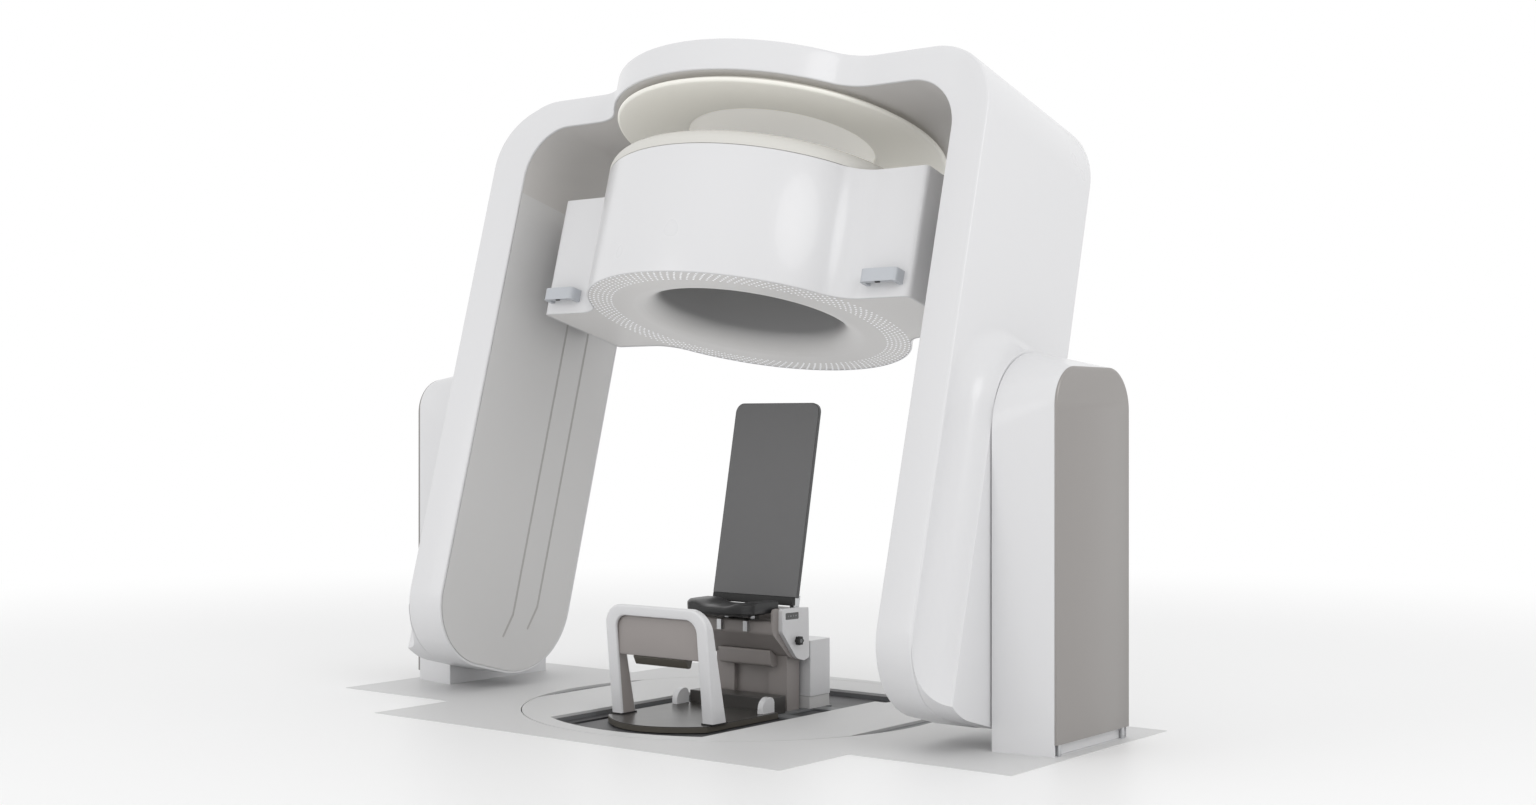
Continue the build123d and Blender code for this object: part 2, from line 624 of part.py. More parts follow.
# ---------------------------------------------------------------- ring scanner
ARM_T = (560, 960)         # height of the carriage arms
ARM_THICK = 10
PAD_THICK = 12
PLATE_X = (LEG_IN + 33, LEG_IN + 53)
BLOCK_T = ((600, 680), (860, 940))
BLOCK_HALF = 28
BLOCK_OUT = RAIL_BACK - 4
BLOCK_GAP = 0.3
NUT_T = (740, 800)
NUT_HALF = 20


def ring_plan(inset=0):
    """Plan of the ring and its two ears."""
    face = Circle(RING_RADIUS) + Rectangle(2 * EAR_X, EAR_REAR - EAR_FRONT)
    y_ear = (EAR_REAR - EAR_FRONT) / 2
    x_meet = math.sqrt(RING_RADIUS ** 2 - y_ear ** 2)
    for x in (-x_meet, x_meet):
        for y in (-y_ear, y_ear):
            corner = face.vertices().sort_by_distance(Vector(x, y))[0]
            face = fillet(corner, EAR_BLEND)
    for x in (-EAR_X, EAR_X):
        for y in (-y_ear, y_ear):
            corner = face.vertices().sort_by_distance(Vector(x, y))[0]
            face = fillet(corner, EAR_CORNER)
    face = Pos(0, RING_S) * face
    return offset(face, amount=-inset) if inset else face


def ring_shell():
    roof_low = RING_SIDE_TOP - RING_WALL
    wall = along_z(ring_plan() - ring_plan(RING_WALL), RING_BOTTOM, roof_low)
    opening = Pos(0, RING_S) * Circle(RING_RADIUS - 2 * RING_WALL)
    roof = along_z(ring_plan() - opening, roof_low, RING_SIDE_TOP)
    save("ring_shell", wall + roof, at=LEANED)


def bell(start, end, thickness):
    """Part of the bell mouth between two angles of its quarter ellipse: 90 degrees at
    the bottom cover, 0 at the throat."""
    reach = LIP_RADIUS - THROAT
    base = RING_BOTTOM + COVER_LIFT
    steps = 6
    outer = []
    inner = []
    for i in range(steps + 1):
        angle = math.radians(start + (end - start) * i / steps)
        radius = LIP_RADIUS - reach * math.cos(angle)
        height = base + FLARE_HEIGHT * (1 - math.sin(angle))
        outer.append((radius, height))
        inner.append((radius + thickness * math.cos(angle), height + thickness * math.sin(angle)))
    wire = (Spline(*outer) + Line(outer[-1], inner[-1]) + Spline(*reversed(inner))
            + Line(inner[0], outer[0]))
    return Pos(0, RING_S, 0) * revolve(Plane.XZ * make_face(wire), Axis.Z, 360)


def ring_covers():
    base = RING_BOTTOM + COVER_LIFT
    lip_angle = math.degrees(math.acos((LIP_RADIUS - LIP_EDGE) / (LIP_RADIUS - THROAT)))
    cover = along_z(ring_plan(RING_WALL + GAP), base, base + COVER_SHEET)
    cover -= rod_z(LIP_RADIUS, base - 1, base + 2 * COVER_SHEET, 0, RING_S)
    cover += bell(90, lip_angle, COVER_SHEET)
    save("ring_bottom_cover", cover, at=LEANED)

    liner = bell(lip_angle - 0.3, 0, COVER_SHEET)
    liner += ring_z(THROAT, THROAT + COVER_SHEET, base + FLARE_HEIGHT, RING_TOP - RING_WALL,
                    0, RING_S)
    save("bore_liner", liner, at=LEANED)

    inner = THROAT + COVER_SHEET + GAP
    outline = rounded([(inner, RING_SIDE_TOP), (RING_RADIUS, RING_SIDE_TOP),
                       (RING_RADIUS, RING_TOP), (inner, RING_TOP)],
                      [0, 0, SHOULDER, INNER_SHOULDER])
    sheet = COVER_SHEET
    cut = rounded([(inner + sheet, RING_SIDE_TOP - 1), (RING_RADIUS - sheet, RING_SIDE_TOP - 1),
                   (RING_RADIUS - sheet, RING_TOP - sheet), (inner + sheet, RING_TOP - sheet)],
                  [0, 0, SHOULDER - sheet, INNER_SHOULDER - sheet])
    top = Pos(0, RING_S, 0) * revolve(Plane.XZ * (outline - cut), Axis.Z, 360)
    save("ring_top_cover", top, at=LEANED)


STATOR_T = (1010, 1034)
STATOR_IN = ROTOR_IN
STATOR_OUT = RING_RADIUS - 15
EAR_FRAME_S = (10, 210)
EAR_FRAME_X = (RING_RADIUS - 5, EAR_X - 10)
EAR_FRAME_T = (600, 1034)


def ring_structure():
    stator = ring_z(STATOR_IN, STATOR_OUT, *STATOR_T, 0, RING_S)
    ear = block(*EAR_FRAME_X, *EAR_FRAME_S, *EAR_FRAME_T)
    ear -= block(EAR_FRAME_X[0] + STEEL_WALL, EAR_FRAME_X[1] - STEEL_WALL,
                 EAR_FRAME_S[0] - 1, EAR_FRAME_S[1] + 1,
                 EAR_FRAME_T[0] + STEEL_WALL, EAR_FRAME_T[1] - STEEL_WALL)
    ear += block(ROTOR_OUT, EAR_FRAME_X[0], *EAR_FRAME_S, *STATOR_T) - rod_z(
        STATOR_OUT, 0, FAR, 0, RING_S)
    save("ring_chassis", stator, ear, other_side(ear), at=LEANED)
    race = ring_z(SPIN_RADIUS + RUN, SPIN_RADIUS + RACE_SECTION, ROTOR_HIGH + GAP,
                  STATOR_T[0], 0, RING_S)
    save("ring_race_outer", race, at=LEANED)


def carriages():
    s_low = SLOT_S[0] - BLOCK_HALF
    s_high = SLOT_S[1] + BLOCK_HALF
    arm = block(EAR_X, EAR_X + PAD_THICK, s_low, s_high, *ARM_T)
    for s in SLOT_S:
        arm += block(EAR_X, PLATE_X[1], s - ARM_THICK / 2, s + ARM_THICK / 2, *ARM_T)
    arm += block(*PLATE_X, s_low, s_high, *ARM_T)
    save_pair("carriage_arms", arm, at=LEANED)
    width, depth = GUIDE_RAIL
    shoes = []
    for s in SLOT_S:
        for low, high in BLOCK_T:
            shoe = block(PLATE_X[1], BLOCK_OUT, s - BLOCK_HALF, s + BLOCK_HALF, low, high)
            shoe -= block(RAIL_BACK - depth - BLOCK_GAP, BLOCK_OUT + 1, s - width / 2 - BLOCK_GAP,
                          s + width / 2 + BLOCK_GAP, low - 1, high + 1)
            shoes.append(shoe)
    nut = block(PLATE_X[1], BLOCK_OUT, SCREW_S - NUT_HALF, SCREW_S + NUT_HALF, *NUT_T)
    nut -= rod_z(SCREW_RADIUS + RUN, NUT_T[0] - 1, NUT_T[1] + 1, SCREW_X, SCREW_S)
    save_pair("guide_shoes", *shoes, nut, at=LEANED)


BUTTON = (26, 10)          # length and width of the push button under the bar
BUTTON_PROUD = 4
BUTTON_SEAT = 12           # depth of its pocket
BUTTON_HIGH = 11
BUTTON_GAP = 0.3
BAR_CORNER = 22
BAR_EDGE = 4


def grab_bars():
    x0, x1 = BAR_X
    front = EAR_FRONT - BAR_REACH
    outer = rounded([(x0, EAR_FRONT), (x0, front), (x1, front), (x1, EAR_FRONT)],
                    [0, BAR_CORNER, BAR_CORNER, 0])
    inner = rounded([(x0 + BAR_THICK, EAR_FRONT + 1), (x0 + BAR_THICK, front + BAR_THICK),
                     (x1 - BAR_THICK, front + BAR_THICK), (x1 - BAR_THICK, EAR_FRONT + 1)],
                    [0, BAR_CORNER / 2, BAR_CORNER / 2, 0])
    bar = along_z(outer - inner, BAR_LOW, BAR_HIGH)
    bar = fillet(bar.faces().sort_by(Axis.Z)[-1].edges(), BAR_EDGE)
    length, width = BUTTON
    x_mid = (x0 + x1) / 2
    s_mid = front + BAR_THICK / 2
    half_x = length / 2
    half_s = width / 2
    button = block(x_mid - half_x, x_mid + half_x, s_mid - half_s, s_mid + half_s,
                   BAR_LOW - BUTTON_PROUD, BAR_LOW - BUTTON_PROUD + BUTTON_HIGH)
    half_x += BUTTON_GAP
    half_s += BUTTON_GAP
    bar -= block(x_mid - half_x, x_mid + half_x, s_mid - half_s, s_mid + half_s,
                 BAR_LOW - 1, BAR_LOW + BUTTON_SEAT)
    save_pair("grab_bars", bar, at=LEANED)
    save_sides("grab_button", button, at=LEANED)


DRUM_SKIN = 12
DRUM_TOP = 30
TUBE_HALF = 130
TUBE_S = (40 - ROTOR_OUT, -ROTOR_IN - 48)  # housing of the tube, from the middle of the ring
TUBE_LOW = 620
GATE_S = (-ROTOR_IN - 47, -ROTOR_IN - 16)  # collimator in front of it
GATE_HALF = (70, 40)       # outer and inner half width
GATE_T = (700, 800)
BEAM_SLOT_T = (735, 765)
DETECTOR_ARC = 27          # half angle of the detector, degrees
DETECTOR_RADIUS = ROTOR_OUT - 110
DETECTOR_DEPTH = 70
DETECTOR_T = (680, 820)
UNIT_X = (ROTOR_IN + 28, ROTOR_OUT - 50)
UNIT_HALF = 120
UNIT_LOW = 600


def rotor():
    roof = ROTOR_HIGH - DRUM_TOP
    drum = ring_z(ROTOR_IN, ROTOR_OUT, roof, ROTOR_HIGH, 0, RING_S)
    drum += ring_z(ROTOR_OUT - DRUM_SKIN, ROTOR_OUT, ROTOR_LOW, ROTOR_HIGH, 0, RING_S)
    race = ring_z(SPIN_RADIUS - RACE_SECTION, SPIN_RADIUS, ROTOR_HIGH, STATOR_T[0] - GAP,
                  0, RING_S)
    save("rotor_drum", drum, race, at=LEANED)
    tube = block(-TUBE_HALF, TUBE_HALF, RING_S + TUBE_S[0], RING_S + TUBE_S[1], TUBE_LOW, roof)
    outer, inner = GATE_HALF
    gate = block(-outer, outer, RING_S + GATE_S[0], RING_S + GATE_S[1], *GATE_T)
    gate -= block(-inner, inner, -FAR, FAR, *BEAM_SLOT_T)
    save("xray_source", tube, gate, at=LEANED)
    across = FAR * math.sin(math.radians(DETECTOR_ARC))
    wedge = make_face(Polyline((0, 0), (across, FAR), (-across, FAR), close=True))
    wedge = along_z(Pos(0, RING_S) * wedge, 0, FAR)
    arc = ring_z(DETECTOR_RADIUS, DETECTOR_RADIUS + DETECTOR_DEPTH, *DETECTOR_T, 0, RING_S)
    shelf = ring_z(DETECTOR_RADIUS - DRUM_SKIN, ROTOR_OUT - DRUM_SKIN, DETECTOR_T[1] + GAP, roof,
                   0, RING_S)
    save("detector", arc & wedge, shelf & wedge, at=LEANED)
    unit = block(*UNIT_X, RING_S - UNIT_HALF, RING_S + UNIT_HALF, UNIT_LOW, roof)
    save_pair("power_units", unit, at=LEANED)


# ---------------------------------------------------------------- chair
RAIL_TOP = DECK_LOW - TOP + RAIL_HEIGHT
CROSS_Y = ((-50, 30), (250, 330))  # two bars across the slots, with a shoe at each end
CHASSIS_FRONT = -200
CHASSIS_STEP = -58
CHASSIS_INSET = 30         # the front of the chassis is narrower than the footplate
SHOE_HALF = 12
SHOE_INSET = 5


def chassis():
    plate = block(-BOX_X, BOX_X, CHASSIS_STEP, BOX_REAR, CHASSIS_LOW, CHASSIS_HIGH)
    front_half = FOOT_HALF - CHASSIS_INSET
    plate += block(-front_half, front_half, CHASSIS_FRONT, CHASSIS_STEP + 1,
                   CHASSIS_LOW, CHASSIS_HIGH)
    half = SLOT_WIDTH / 2
    shoes = []
    for y0, y1 in CROSS_Y:
        plate += block(-RAIL_X - half, RAIL_X + half, y0, y1, CHASSIS_LOW, CHASSIS_HIGH)
        for x in (-RAIL_X, RAIL_X):
            shoes.append(block(x - SHOE_HALF, x + SHOE_HALF, y0 + SHOE_INSET, y1 - SHOE_INSET,
                               RAIL_TOP, CHASSIS_LOW))
    save("chair_chassis", plate, *shoes, at=RAISED)


FOOT_EDGE = 3
HEEL_FRONT = -146          # quarter round guards at the heels
HEEL_REAR = -62
HEEL_HIGH = 70
HEEL_X = (FOOT_HALF - 49, FOOT_HALF - 20)
HEEL_BLOCK_HALF = FOOT_HALF - 50  # dark block between them
HEEL_BLOCK_REAR = 60
HEEL_BLOCK_HIGH = 58


def footplate():
    corner = (FOOT_HALF, FOOT_CORNER)
    far_corner = (-FOOT_HALF, FOOT_CORNER)
    rear = (FOOT_HALF, FOOT_REAR)
    far_rear = (-FOOT_HALF, FOOT_REAR)
    wire = (Line(rear, corner) + ThreePointArc(corner, (0, FOOT_FRONT), far_corner)
            + Line(far_corner, far_rear) + Line(far_rear, rear))
    plate = along_z(make_face(wire), -FOOT_THICK, 0)
    recess = FOOT_HALF - CHASSIS_INSET + 2
    plate -= block(-recess, recess, CHASSIS_FRONT - 2, FOOT_REAR + 1, -FOOT_THICK - 1,
                   CHASSIS_HIGH)
    plate = fillet(plate.faces().sort_by(Axis.Z)[-1].edges(), FOOT_EDGE)
    save("footplate", plate, at=RAISED)
    heel = block(-HEEL_BLOCK_HALF, HEEL_BLOCK_HALF, FOOT_REAR + 2, HEEL_BLOCK_REAR,
                 CHASSIS_HIGH, HEEL_BLOCK_HIGH)
    side = rounded([(HEEL_FRONT, 0), (HEEL_REAR, 0), (HEEL_REAR, HEEL_HIGH),
                    (HEEL_FRONT, HEEL_HIGH)], [0, 0, HEEL_HIGH - 4, 0])
    guards = along_x(side, *HEEL_X)
    save("heel_stops", heel, guards, other_side(guards), at=RAISED)


PANEL_Y = 132
PANEL_SHEET = 4
PANEL_TOP = 196
TUBE_GAP = 3               # between a column and the tube that slides in it
LIFT_RADIUS = 26
LIFT_ROD = 18
LIFT_Y = 165
LIFT_TOP = 200
BEAM_TOP = SEAT_HEIGHT - 42
BEAM_WALL = 6
BOX_CORNER = 20
BOX_EDGE = 6
BOX_WALL = 8
PLINTH_INSET = 3


def columns():
    post = block(COLUMN_IN, COLUMN_OUT, COLUMN_FRONT, COLUMN_REAR, CHASSIS_HIGH, COLUMN_TOP)
    post -= block(COLUMN_IN + COLUMN_WALL, COLUMN_OUT - COLUMN_WALL, COLUMN_FRONT + COLUMN_WALL,
                  COLUMN_REAR - COLUMN_WALL, CHASSIS_HIGH + COLUMN_WALL, COLUMN_TOP + 1)
    wall = COLUMN_WALL + TUBE_GAP
    tube = block(COLUMN_IN + wall, COLUMN_OUT - wall, COLUMN_FRONT + wall, COLUMN_REAR - wall,
                 CHASSIS_HIGH + 2 * BEAM_WALL, BEAM_TOP - BEAM_WALL)
    panel = block(-COLUMN_IN + GAP, COLUMN_IN - GAP, PANEL_Y, PANEL_Y + PANEL_SHEET,
                  CHASSIS_HIGH, PANEL_TOP)
    cylinder = rod_z(LIFT_RADIUS, CHASSIS_HIGH, LIFT_TOP, 0, LIFT_Y)
    cylinder -= rod_z(LIFT_ROD + RUN, CHASSIS_HIGH + LIFT_RADIUS - LIFT_ROD, LIFT_TOP + 1,
                      0, LIFT_Y)
    save("column_outer", post, other_side(post), cylinder, panel, at=RAISED)
    rod = rod_z(LIFT_ROD, CHASSIS_HIGH + 2 * BEAM_WALL, BEAM_TOP - BEAM_WALL, 0, LIFT_Y)
    save("column_inner", tube, other_side(tube), rod, at=RAISED)
    box = block(-BOX_X, BOX_X, BOX_FRONT, BOX_REAR, BOX_SPLIT, BOX_TOP)
    upright = [edge for edge in box.edges().filter_by(Axis.Z) if edge.center().Y > BOX_FRONT + 1]
    box = fillet(upright, BOX_CORNER)
    box = fillet(box.faces().sort_by(Axis.Z)[-1].edges(), BOX_EDGE)
    box -= block(-BOX_X + BOX_WALL, BOX_X - BOX_WALL, BOX_FRONT + BOX_WALL, BOX_REAR - BOX_WALL,
                 BOX_SPLIT - 1, BOX_TOP - BOX_WALL)
    plinth = block(-BOX_X + PLINTH_INSET, BOX_X - PLINTH_INSET, BOX_FRONT,
                   BOX_REAR - PLINTH_INSET, CHASSIS_HIGH, BOX_SPLIT)
    save("rear_box", box, plinth, at=RAISED)


SIDE_OUTLINE = [(-30, 454), (208, 444), (213, 217), (174, 206), (93, 223), (-30, 337)]
SIDE_RADII = [22, 8, 8, 24, 70, 34]
BEAM_OUTLINE = [(-22, 394), (58, 394), (70, BEAM_TOP), (205, BEAM_TOP), (207, 222), (176, 212),
                (97, 228), (-22, 338)]
BEAM_RADII = [12, 10, 10, 6, 6, 20, 66, 30]
BEAM_CUT = (180, 300)      # openings in the beam's underside for the columns
BEAM_CUT_GAP = 6
TRAY_OUTLINE = [(48, 262), (92, 229), (102, 226), (102, 178), (60, 178)]
TRAY_HALF = 150
DISPLAY_Y = (40, 128)
DISPLAY_Z = (402, 428)
DISPLAY_DEPTH = 3
DISPLAY_GAP = 0.3
KNOB_AT = (123, 300)
KNOB_SHAFT = 7
KNOB_RADIUS = 19
KNOB_PROUD = 22
KNOB_LOBES = 6
LOBE_RADIUS = 5
COVER_ROUND = 5


def chair_body():
    beam = along_x(rounded(BEAM_OUTLINE, BEAM_RADII), -BODY_HALF, BODY_HALF)
    beam -= along_x(offset(rounded(BEAM_OUTLINE, BEAM_RADII), amount=-BEAM_WALL),
                    -BODY_HALF + BEAM_WALL, BODY_HALF - BEAM_WALL)
    for sign in (-1, 1):
        x0, x1 = sorted((sign * (COLUMN_IN - BEAM_CUT_GAP), sign * (COLUMN_OUT + BEAM_CUT_GAP)))
        beam -= block(x0, x1, COLUMN_FRONT - BEAM_CUT_GAP, COLUMN_REAR + BEAM_CUT_GAP, *BEAM_CUT)
    beam -= rod_z(LIFT_RADIUS + BEAM_CUT_GAP, *BEAM_CUT, 0, LIFT_Y)
    tray = make_face(Polyline(*TRAY_OUTLINE, close=True))
    save("seat_beam", beam, along_x(tray, -TRAY_HALF, TRAY_HALF), at=RAISED)

    cover = along_x(rounded(SIDE_OUTLINE, SIDE_RADII), BODY_HALF, COVER_X)
    cover = fillet(cover.faces().sort_by(Axis.X)[-1].edges(), COVER_ROUND)
    window = block(COVER_X - DISPLAY_DEPTH, COVER_X + 1, *DISPLAY_Y, *DISPLAY_Z)
    cover -= window + rod_x(KNOB_SHAFT + RUN, BODY_HALF + BEAM_WALL, COVER_X + 1, *KNOB_AT)
    save_pair("side_covers", cover, at=RAISED)
    y0, y1 = DISPLAY_Y
    z0, z1 = DISPLAY_Z
    display = block(COVER_X - DISPLAY_DEPTH, COVER_X - GAP, y0 + DISPLAY_GAP, y1 - DISPLAY_GAP,
                    z0 + DISPLAY_GAP, z1 - DISPLAY_GAP)
    save_pair("displays", display, at=RAISED)
    knob = rod_x(KNOB_SHAFT, BODY_HALF + BEAM_WALL + 2, COVER_X + GAP, *KNOB_AT)
    knob += rod_x(KNOB_RADIUS, COVER_X + GAP / 2, COVER_X + KNOB_PROUD, *KNOB_AT)
    for i in range(KNOB_LOBES):
        angle = 2 * math.pi * i / KNOB_LOBES
        y = KNOB_AT[0] + (KNOB_RADIUS + LOBE_RADIUS / 2) * math.cos(angle)
        z = KNOB_AT[1] + (KNOB_RADIUS + LOBE_RADIUS / 2) * math.sin(angle)
        knob -= rod_x(LOBE_RADIUS, COVER_X + LOBE_RADIUS, COVER_X + KNOB_PROUD + 1, y, z)
    save_sides("lock_knob", knob, at=RAISED)


SEAT_PIN = (34, 412)
SEAT_PIN_RADIUS = 6
LUG_X = (64, 88)
SEAT_REAR = 40
SEAT_FRONT = -158
SEAT_LOW = SEAT_HEIGHT - 52
SEAT_HALF = (BODY_HALF - 32, BODY_HALF - 14)
SEAT_CORNERS = [30, 30, 20, 20]
SEAT_DISH = (900, 16)      # radius and depth of the hollow across the seat
SEAT_BASE_HALF = 150
LUG_HALF = 16              # hinge lugs
LUG_LOW = 394
LUG_RISE = 13
CATCH_Y = (-38, -22)       # catches on the front of the beam
CATCH_Z = (344, 390)


def seat():
    y, z = SEAT_PIN
    lug = block(*LUG_X, y - LUG_HALF, y + LUG_HALF, LUG_LOW, z + LUG_RISE)
    lug += block(*LUG_X, *CATCH_Y, *CATCH_Z)
    pin = rod_x(SEAT_PIN_RADIUS, -LUG_X[1], LUG_X[1], y, z)
    lug -= rod_x(SEAT_PIN_RADIUS, 0, LUG_X[1] + 1, y, z)
    save("seat_brackets", lug, other_side(lug), pin, at=RAISED)
    low = SEAT_LOW - 10
    base = block(-SEAT_BASE_HALF, SEAT_BASE_HALF, SEAT_FRONT + LUG_HALF, y - LUG_HALF - 6,
                 low, SEAT_LOW)
    base += block(2 - LUG_X[0], LUG_X[0] - 2, y - LUG_HALF - 8, y + 12, z - 10, SEAT_LOW)
    base -= rod_x(SEAT_PIN_RADIUS + RUN, -SEAT_BASE_HALF, SEAT_BASE_HALF, y, z)
    save("seat_base", base, at=RAISED)
    front, rear = SEAT_HALF
    plan = rounded([(-front, SEAT_FRONT), (front, SEAT_FRONT), (rear, SEAT_REAR),
                    (-rear, SEAT_REAR)], SEAT_CORNERS)
    pan = along_z(plan, SEAT_LOW, SEAT_HEIGHT)
    radius, depth = SEAT_DISH
    dish = rod_y(radius, SEAT_FRONT - 1, SEAT_REAR + 1, 0, SEAT_HEIGHT + radius - depth)
    save("seat_pan", pan - dish, at=RAISED)


BACK_PIN = (30, -14)       # hinge of the back, in the frame of the panel's front face
BACK_PIN_RADIUS = 9
CARRIER_HALF = BODY_HALF - 30
CARRIER_TOP = 70
BACK_BRACKET_X = (BODY_HALF - 24, BODY_HALF - 2)
BACK_FOOT_CORNER = 6
BACK_EDGE = 3
BRACKET_FRONT = 8          # of the pin, and so on round it
BRACKET_REAR = 34
BRACKET_LOW = 34
BRACKET_HIGH = 30
BRACKET_Y = (70, 204)      # the brackets stand on top of the beam, between these


def back():
    (y0, z0), (y1, z1) = BACK_FOOT, BACK_HEAD
    angle = math.degrees(math.atan2(y1 - y0, z1 - z0))
    length = math.hypot(y1 - y0, z1 - z0)
    tilted = Location((0, y0, TOP + z0), (-angle, 0, 0))
    plate = rounded([(-BACK_HALF, 0), (BACK_HALF, 0), (BACK_HALF, length), (-BACK_HALF, length)],
                    [BACK_FOOT_CORNER, BACK_FOOT_CORNER, BACK_CORNER, BACK_CORNER])
    panel = along_y(plate, 0, BACK_THICK)
    panel = fillet(panel.faces().sort_by(Axis.Y)[0].edges(), BACK_EDGE)
    save("back_panel", panel, at=tilted)
    y, z = BACK_PIN
    carrier = block(-CARRIER_HALF, CARRIER_HALF, BACK_THICK, y + 14, z - 12, CARRIER_TOP)
    carrier -= rod_x(BACK_PIN_RADIUS + RUN, -BACK_HALF, BACK_HALF, y, z)
    save("back_carrier", carrier, at=tilted)
    pin = rod_x(BACK_PIN_RADIUS, -BACK_BRACKET_X[1], BACK_BRACKET_X[1], y, z)
    bracket = block(*BACK_BRACKET_X, y - BRACKET_FRONT, y + BRACKET_REAR, z - BRACKET_LOW,
                    z + BRACKET_HIGH)
    bracket = tilted * (bracket - rod_x(BACK_PIN_RADIUS, 0, BACK_HALF, y, z))
    bracket &= block(0, BACK_HALF, *BRACKET_Y, TOP + BEAM_TOP, TOP + BEAM_TOP + 100)
    save("back_brackets", bracket, other_side(bracket), tilted * pin)


SHIN_CORNER = 92
SHIN_INNER_CORNER = 58
SHIN_FRONT = ((-524, 5), (-574, SHIN_TOP + 1))
SHIN_REAR = ((-429, 5), (-534, SHIN_TOP + 1))
SHIN_EDGE = 5
SHIN_PAD_LOW = 269
SHIN_PAD_SIDE = [(-540, SHIN_PAD_LOW - 1), (-516, SHIN_PAD_LOW - 1), (-534, 450), (-550, 450)]
SHIN_LIP_SIDE = [(-538, SHIN_PAD_LOW - GAP), (-490, SHIN_PAD_LOW - GAP), (-502, 232), (-518, 228)]
SHIN_LIP_HALF = 150
SOLE_Y = (-532, -420)      # pads under the shin rest's feet
SOLE_Z = (0.2, 5)


def shin_rest():
    outer = rounded([(-SHIN_OUT, 0), (SHIN_OUT, 0), (SHIN_OUT, SHIN_TOP), (-SHIN_OUT, SHIN_TOP)],
                    [0, 0, SHIN_CORNER, SHIN_CORNER])
    inner = rounded([(-SHIN_IN, -1), (SHIN_IN, -1), (SHIN_IN, SHIN_INNER_TOP),
                     (-SHIN_IN, SHIN_INNER_TOP)], [0, 0, SHIN_INNER_CORNER, SHIN_INNER_CORNER])
    side = make_face(Polyline(SHIN_FRONT[0], SHIN_REAR[0], SHIN_REAR[1], SHIN_FRONT[1], close=True))
    frame = along_y(outer - inner, -FAR, 0) & along_x(side, -FAR, FAR)
    frame = fillet([edge for edge in frame.edges() if edge.center().Z > SOLE_Z[1] + 3
                    and edge.center().Y < SHIN_FRONT[0][0] + 24 and edge.length > 60], SHIN_EDGE)
    pad = along_y(rounded([(-SHIN_IN, SHIN_PAD_LOW), (SHIN_IN, SHIN_PAD_LOW),
                           (SHIN_IN, SHIN_INNER_TOP), (-SHIN_IN, SHIN_INNER_TOP)],
                          [12, 12, SHIN_INNER_CORNER, SHIN_INNER_CORNER]), -FAR, 0)
    pad &= along_x(make_face(Polyline(*SHIN_PAD_SIDE, close=True)), -FAR, FAR)
    lip = make_face(Polyline(*SHIN_LIP_SIDE, close=True))
    save("shin_pad", pad, along_x(lip, -SHIN_LIP_HALF, SHIN_LIP_HALF), at=RAISED)
    soles = block(SHIN_IN - 6, SHIN_OUT + 4, *SOLE_Y, *SOLE_Z)
    save("shin_frame", frame, soles, other_side(soles), at=RAISED)


def main():
    os.makedirs("parts", exist_ok=True)
    base_and_floor()
    turntable()
    slewing()
    pedestals()
    legs()
    bosses()
    canopy()
    ceiling_light()
    portal_frame()
    lift_guides()
    ring_shell()
    ring_covers()
    ring_structure()
    carriages()
    grab_bars()
    rotor()
    chassis()
    footplate()
    columns()
    chair_body()
    seat()
    back()
    shin_rest()


main()
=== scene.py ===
"""Looks of the upright CT scanner: smooth shells, liners, light dots, the chair's moulded parts,
procedural materials, a pale studio and the camera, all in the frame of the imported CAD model."""
import json
import math

import bmesh
import bpy
from mathutils import Matrix, Vector
from mathutils.geometry import tessellate_polygon


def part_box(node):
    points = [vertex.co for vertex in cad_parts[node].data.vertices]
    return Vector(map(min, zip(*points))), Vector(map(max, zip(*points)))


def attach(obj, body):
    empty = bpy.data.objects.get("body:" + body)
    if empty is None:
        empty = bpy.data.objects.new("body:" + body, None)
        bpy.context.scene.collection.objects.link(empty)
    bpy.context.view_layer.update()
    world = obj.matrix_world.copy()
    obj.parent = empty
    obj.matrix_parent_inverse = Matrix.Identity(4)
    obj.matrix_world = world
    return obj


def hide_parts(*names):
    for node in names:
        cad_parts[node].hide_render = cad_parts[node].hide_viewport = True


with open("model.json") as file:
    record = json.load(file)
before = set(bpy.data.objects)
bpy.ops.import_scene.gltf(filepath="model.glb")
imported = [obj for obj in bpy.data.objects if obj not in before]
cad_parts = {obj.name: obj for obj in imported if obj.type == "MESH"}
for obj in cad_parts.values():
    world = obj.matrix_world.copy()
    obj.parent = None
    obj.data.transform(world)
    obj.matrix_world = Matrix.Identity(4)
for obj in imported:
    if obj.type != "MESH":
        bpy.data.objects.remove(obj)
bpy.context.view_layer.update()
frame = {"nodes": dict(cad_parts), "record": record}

# ---------------------------------------------------------------- places, in metres
FLOOR = 0.150                      # walking surface above the frame's origin
PIVOT = FLOOR + 1.250              # tilt axis
LEAN = math.radians(15)            # backward lean of the portal at rest
LEANED = Matrix.Translation((0, 0, PIVOT)) @ Matrix.Rotation(-LEAN, 4, "X")
RAISED = Matrix.Translation((0, 0, FLOOR))
TURN_STEPS = 192                   # facets of a turned piece


# ---------------------------------------------------------------- mesh helpers
def rounded(points, radii, steps=10):
    """Points round a polygon whose corners are arcs of the given radii."""
    out = []
    count = len(points)
    for i, radius in enumerate(radii):
        here = Vector(points[i])
        before = (Vector(points[i - 1]) - here).normalized()
        after = (Vector(points[(i + 1) % count]) - here).normalized()
        if not radius:
            out.append(tuple(here))
            continue
        half = before.angle(after) / 2
        centre = here + (before + after).normalized() * radius / math.sin(half)
        start = here + before * radius / math.tan(half) - centre
        end = here + after * radius / math.tan(half) - centre
        turn = start.angle_signed(end)
        for k in range(steps + 1):
            angle = -turn * k / steps
            cos, sin = math.cos(angle), math.sin(angle)
            out.append((centre.x + start.x * cos - start.y * sin,
                        centre.y + start.x * sin + start.y * cos))
    return out


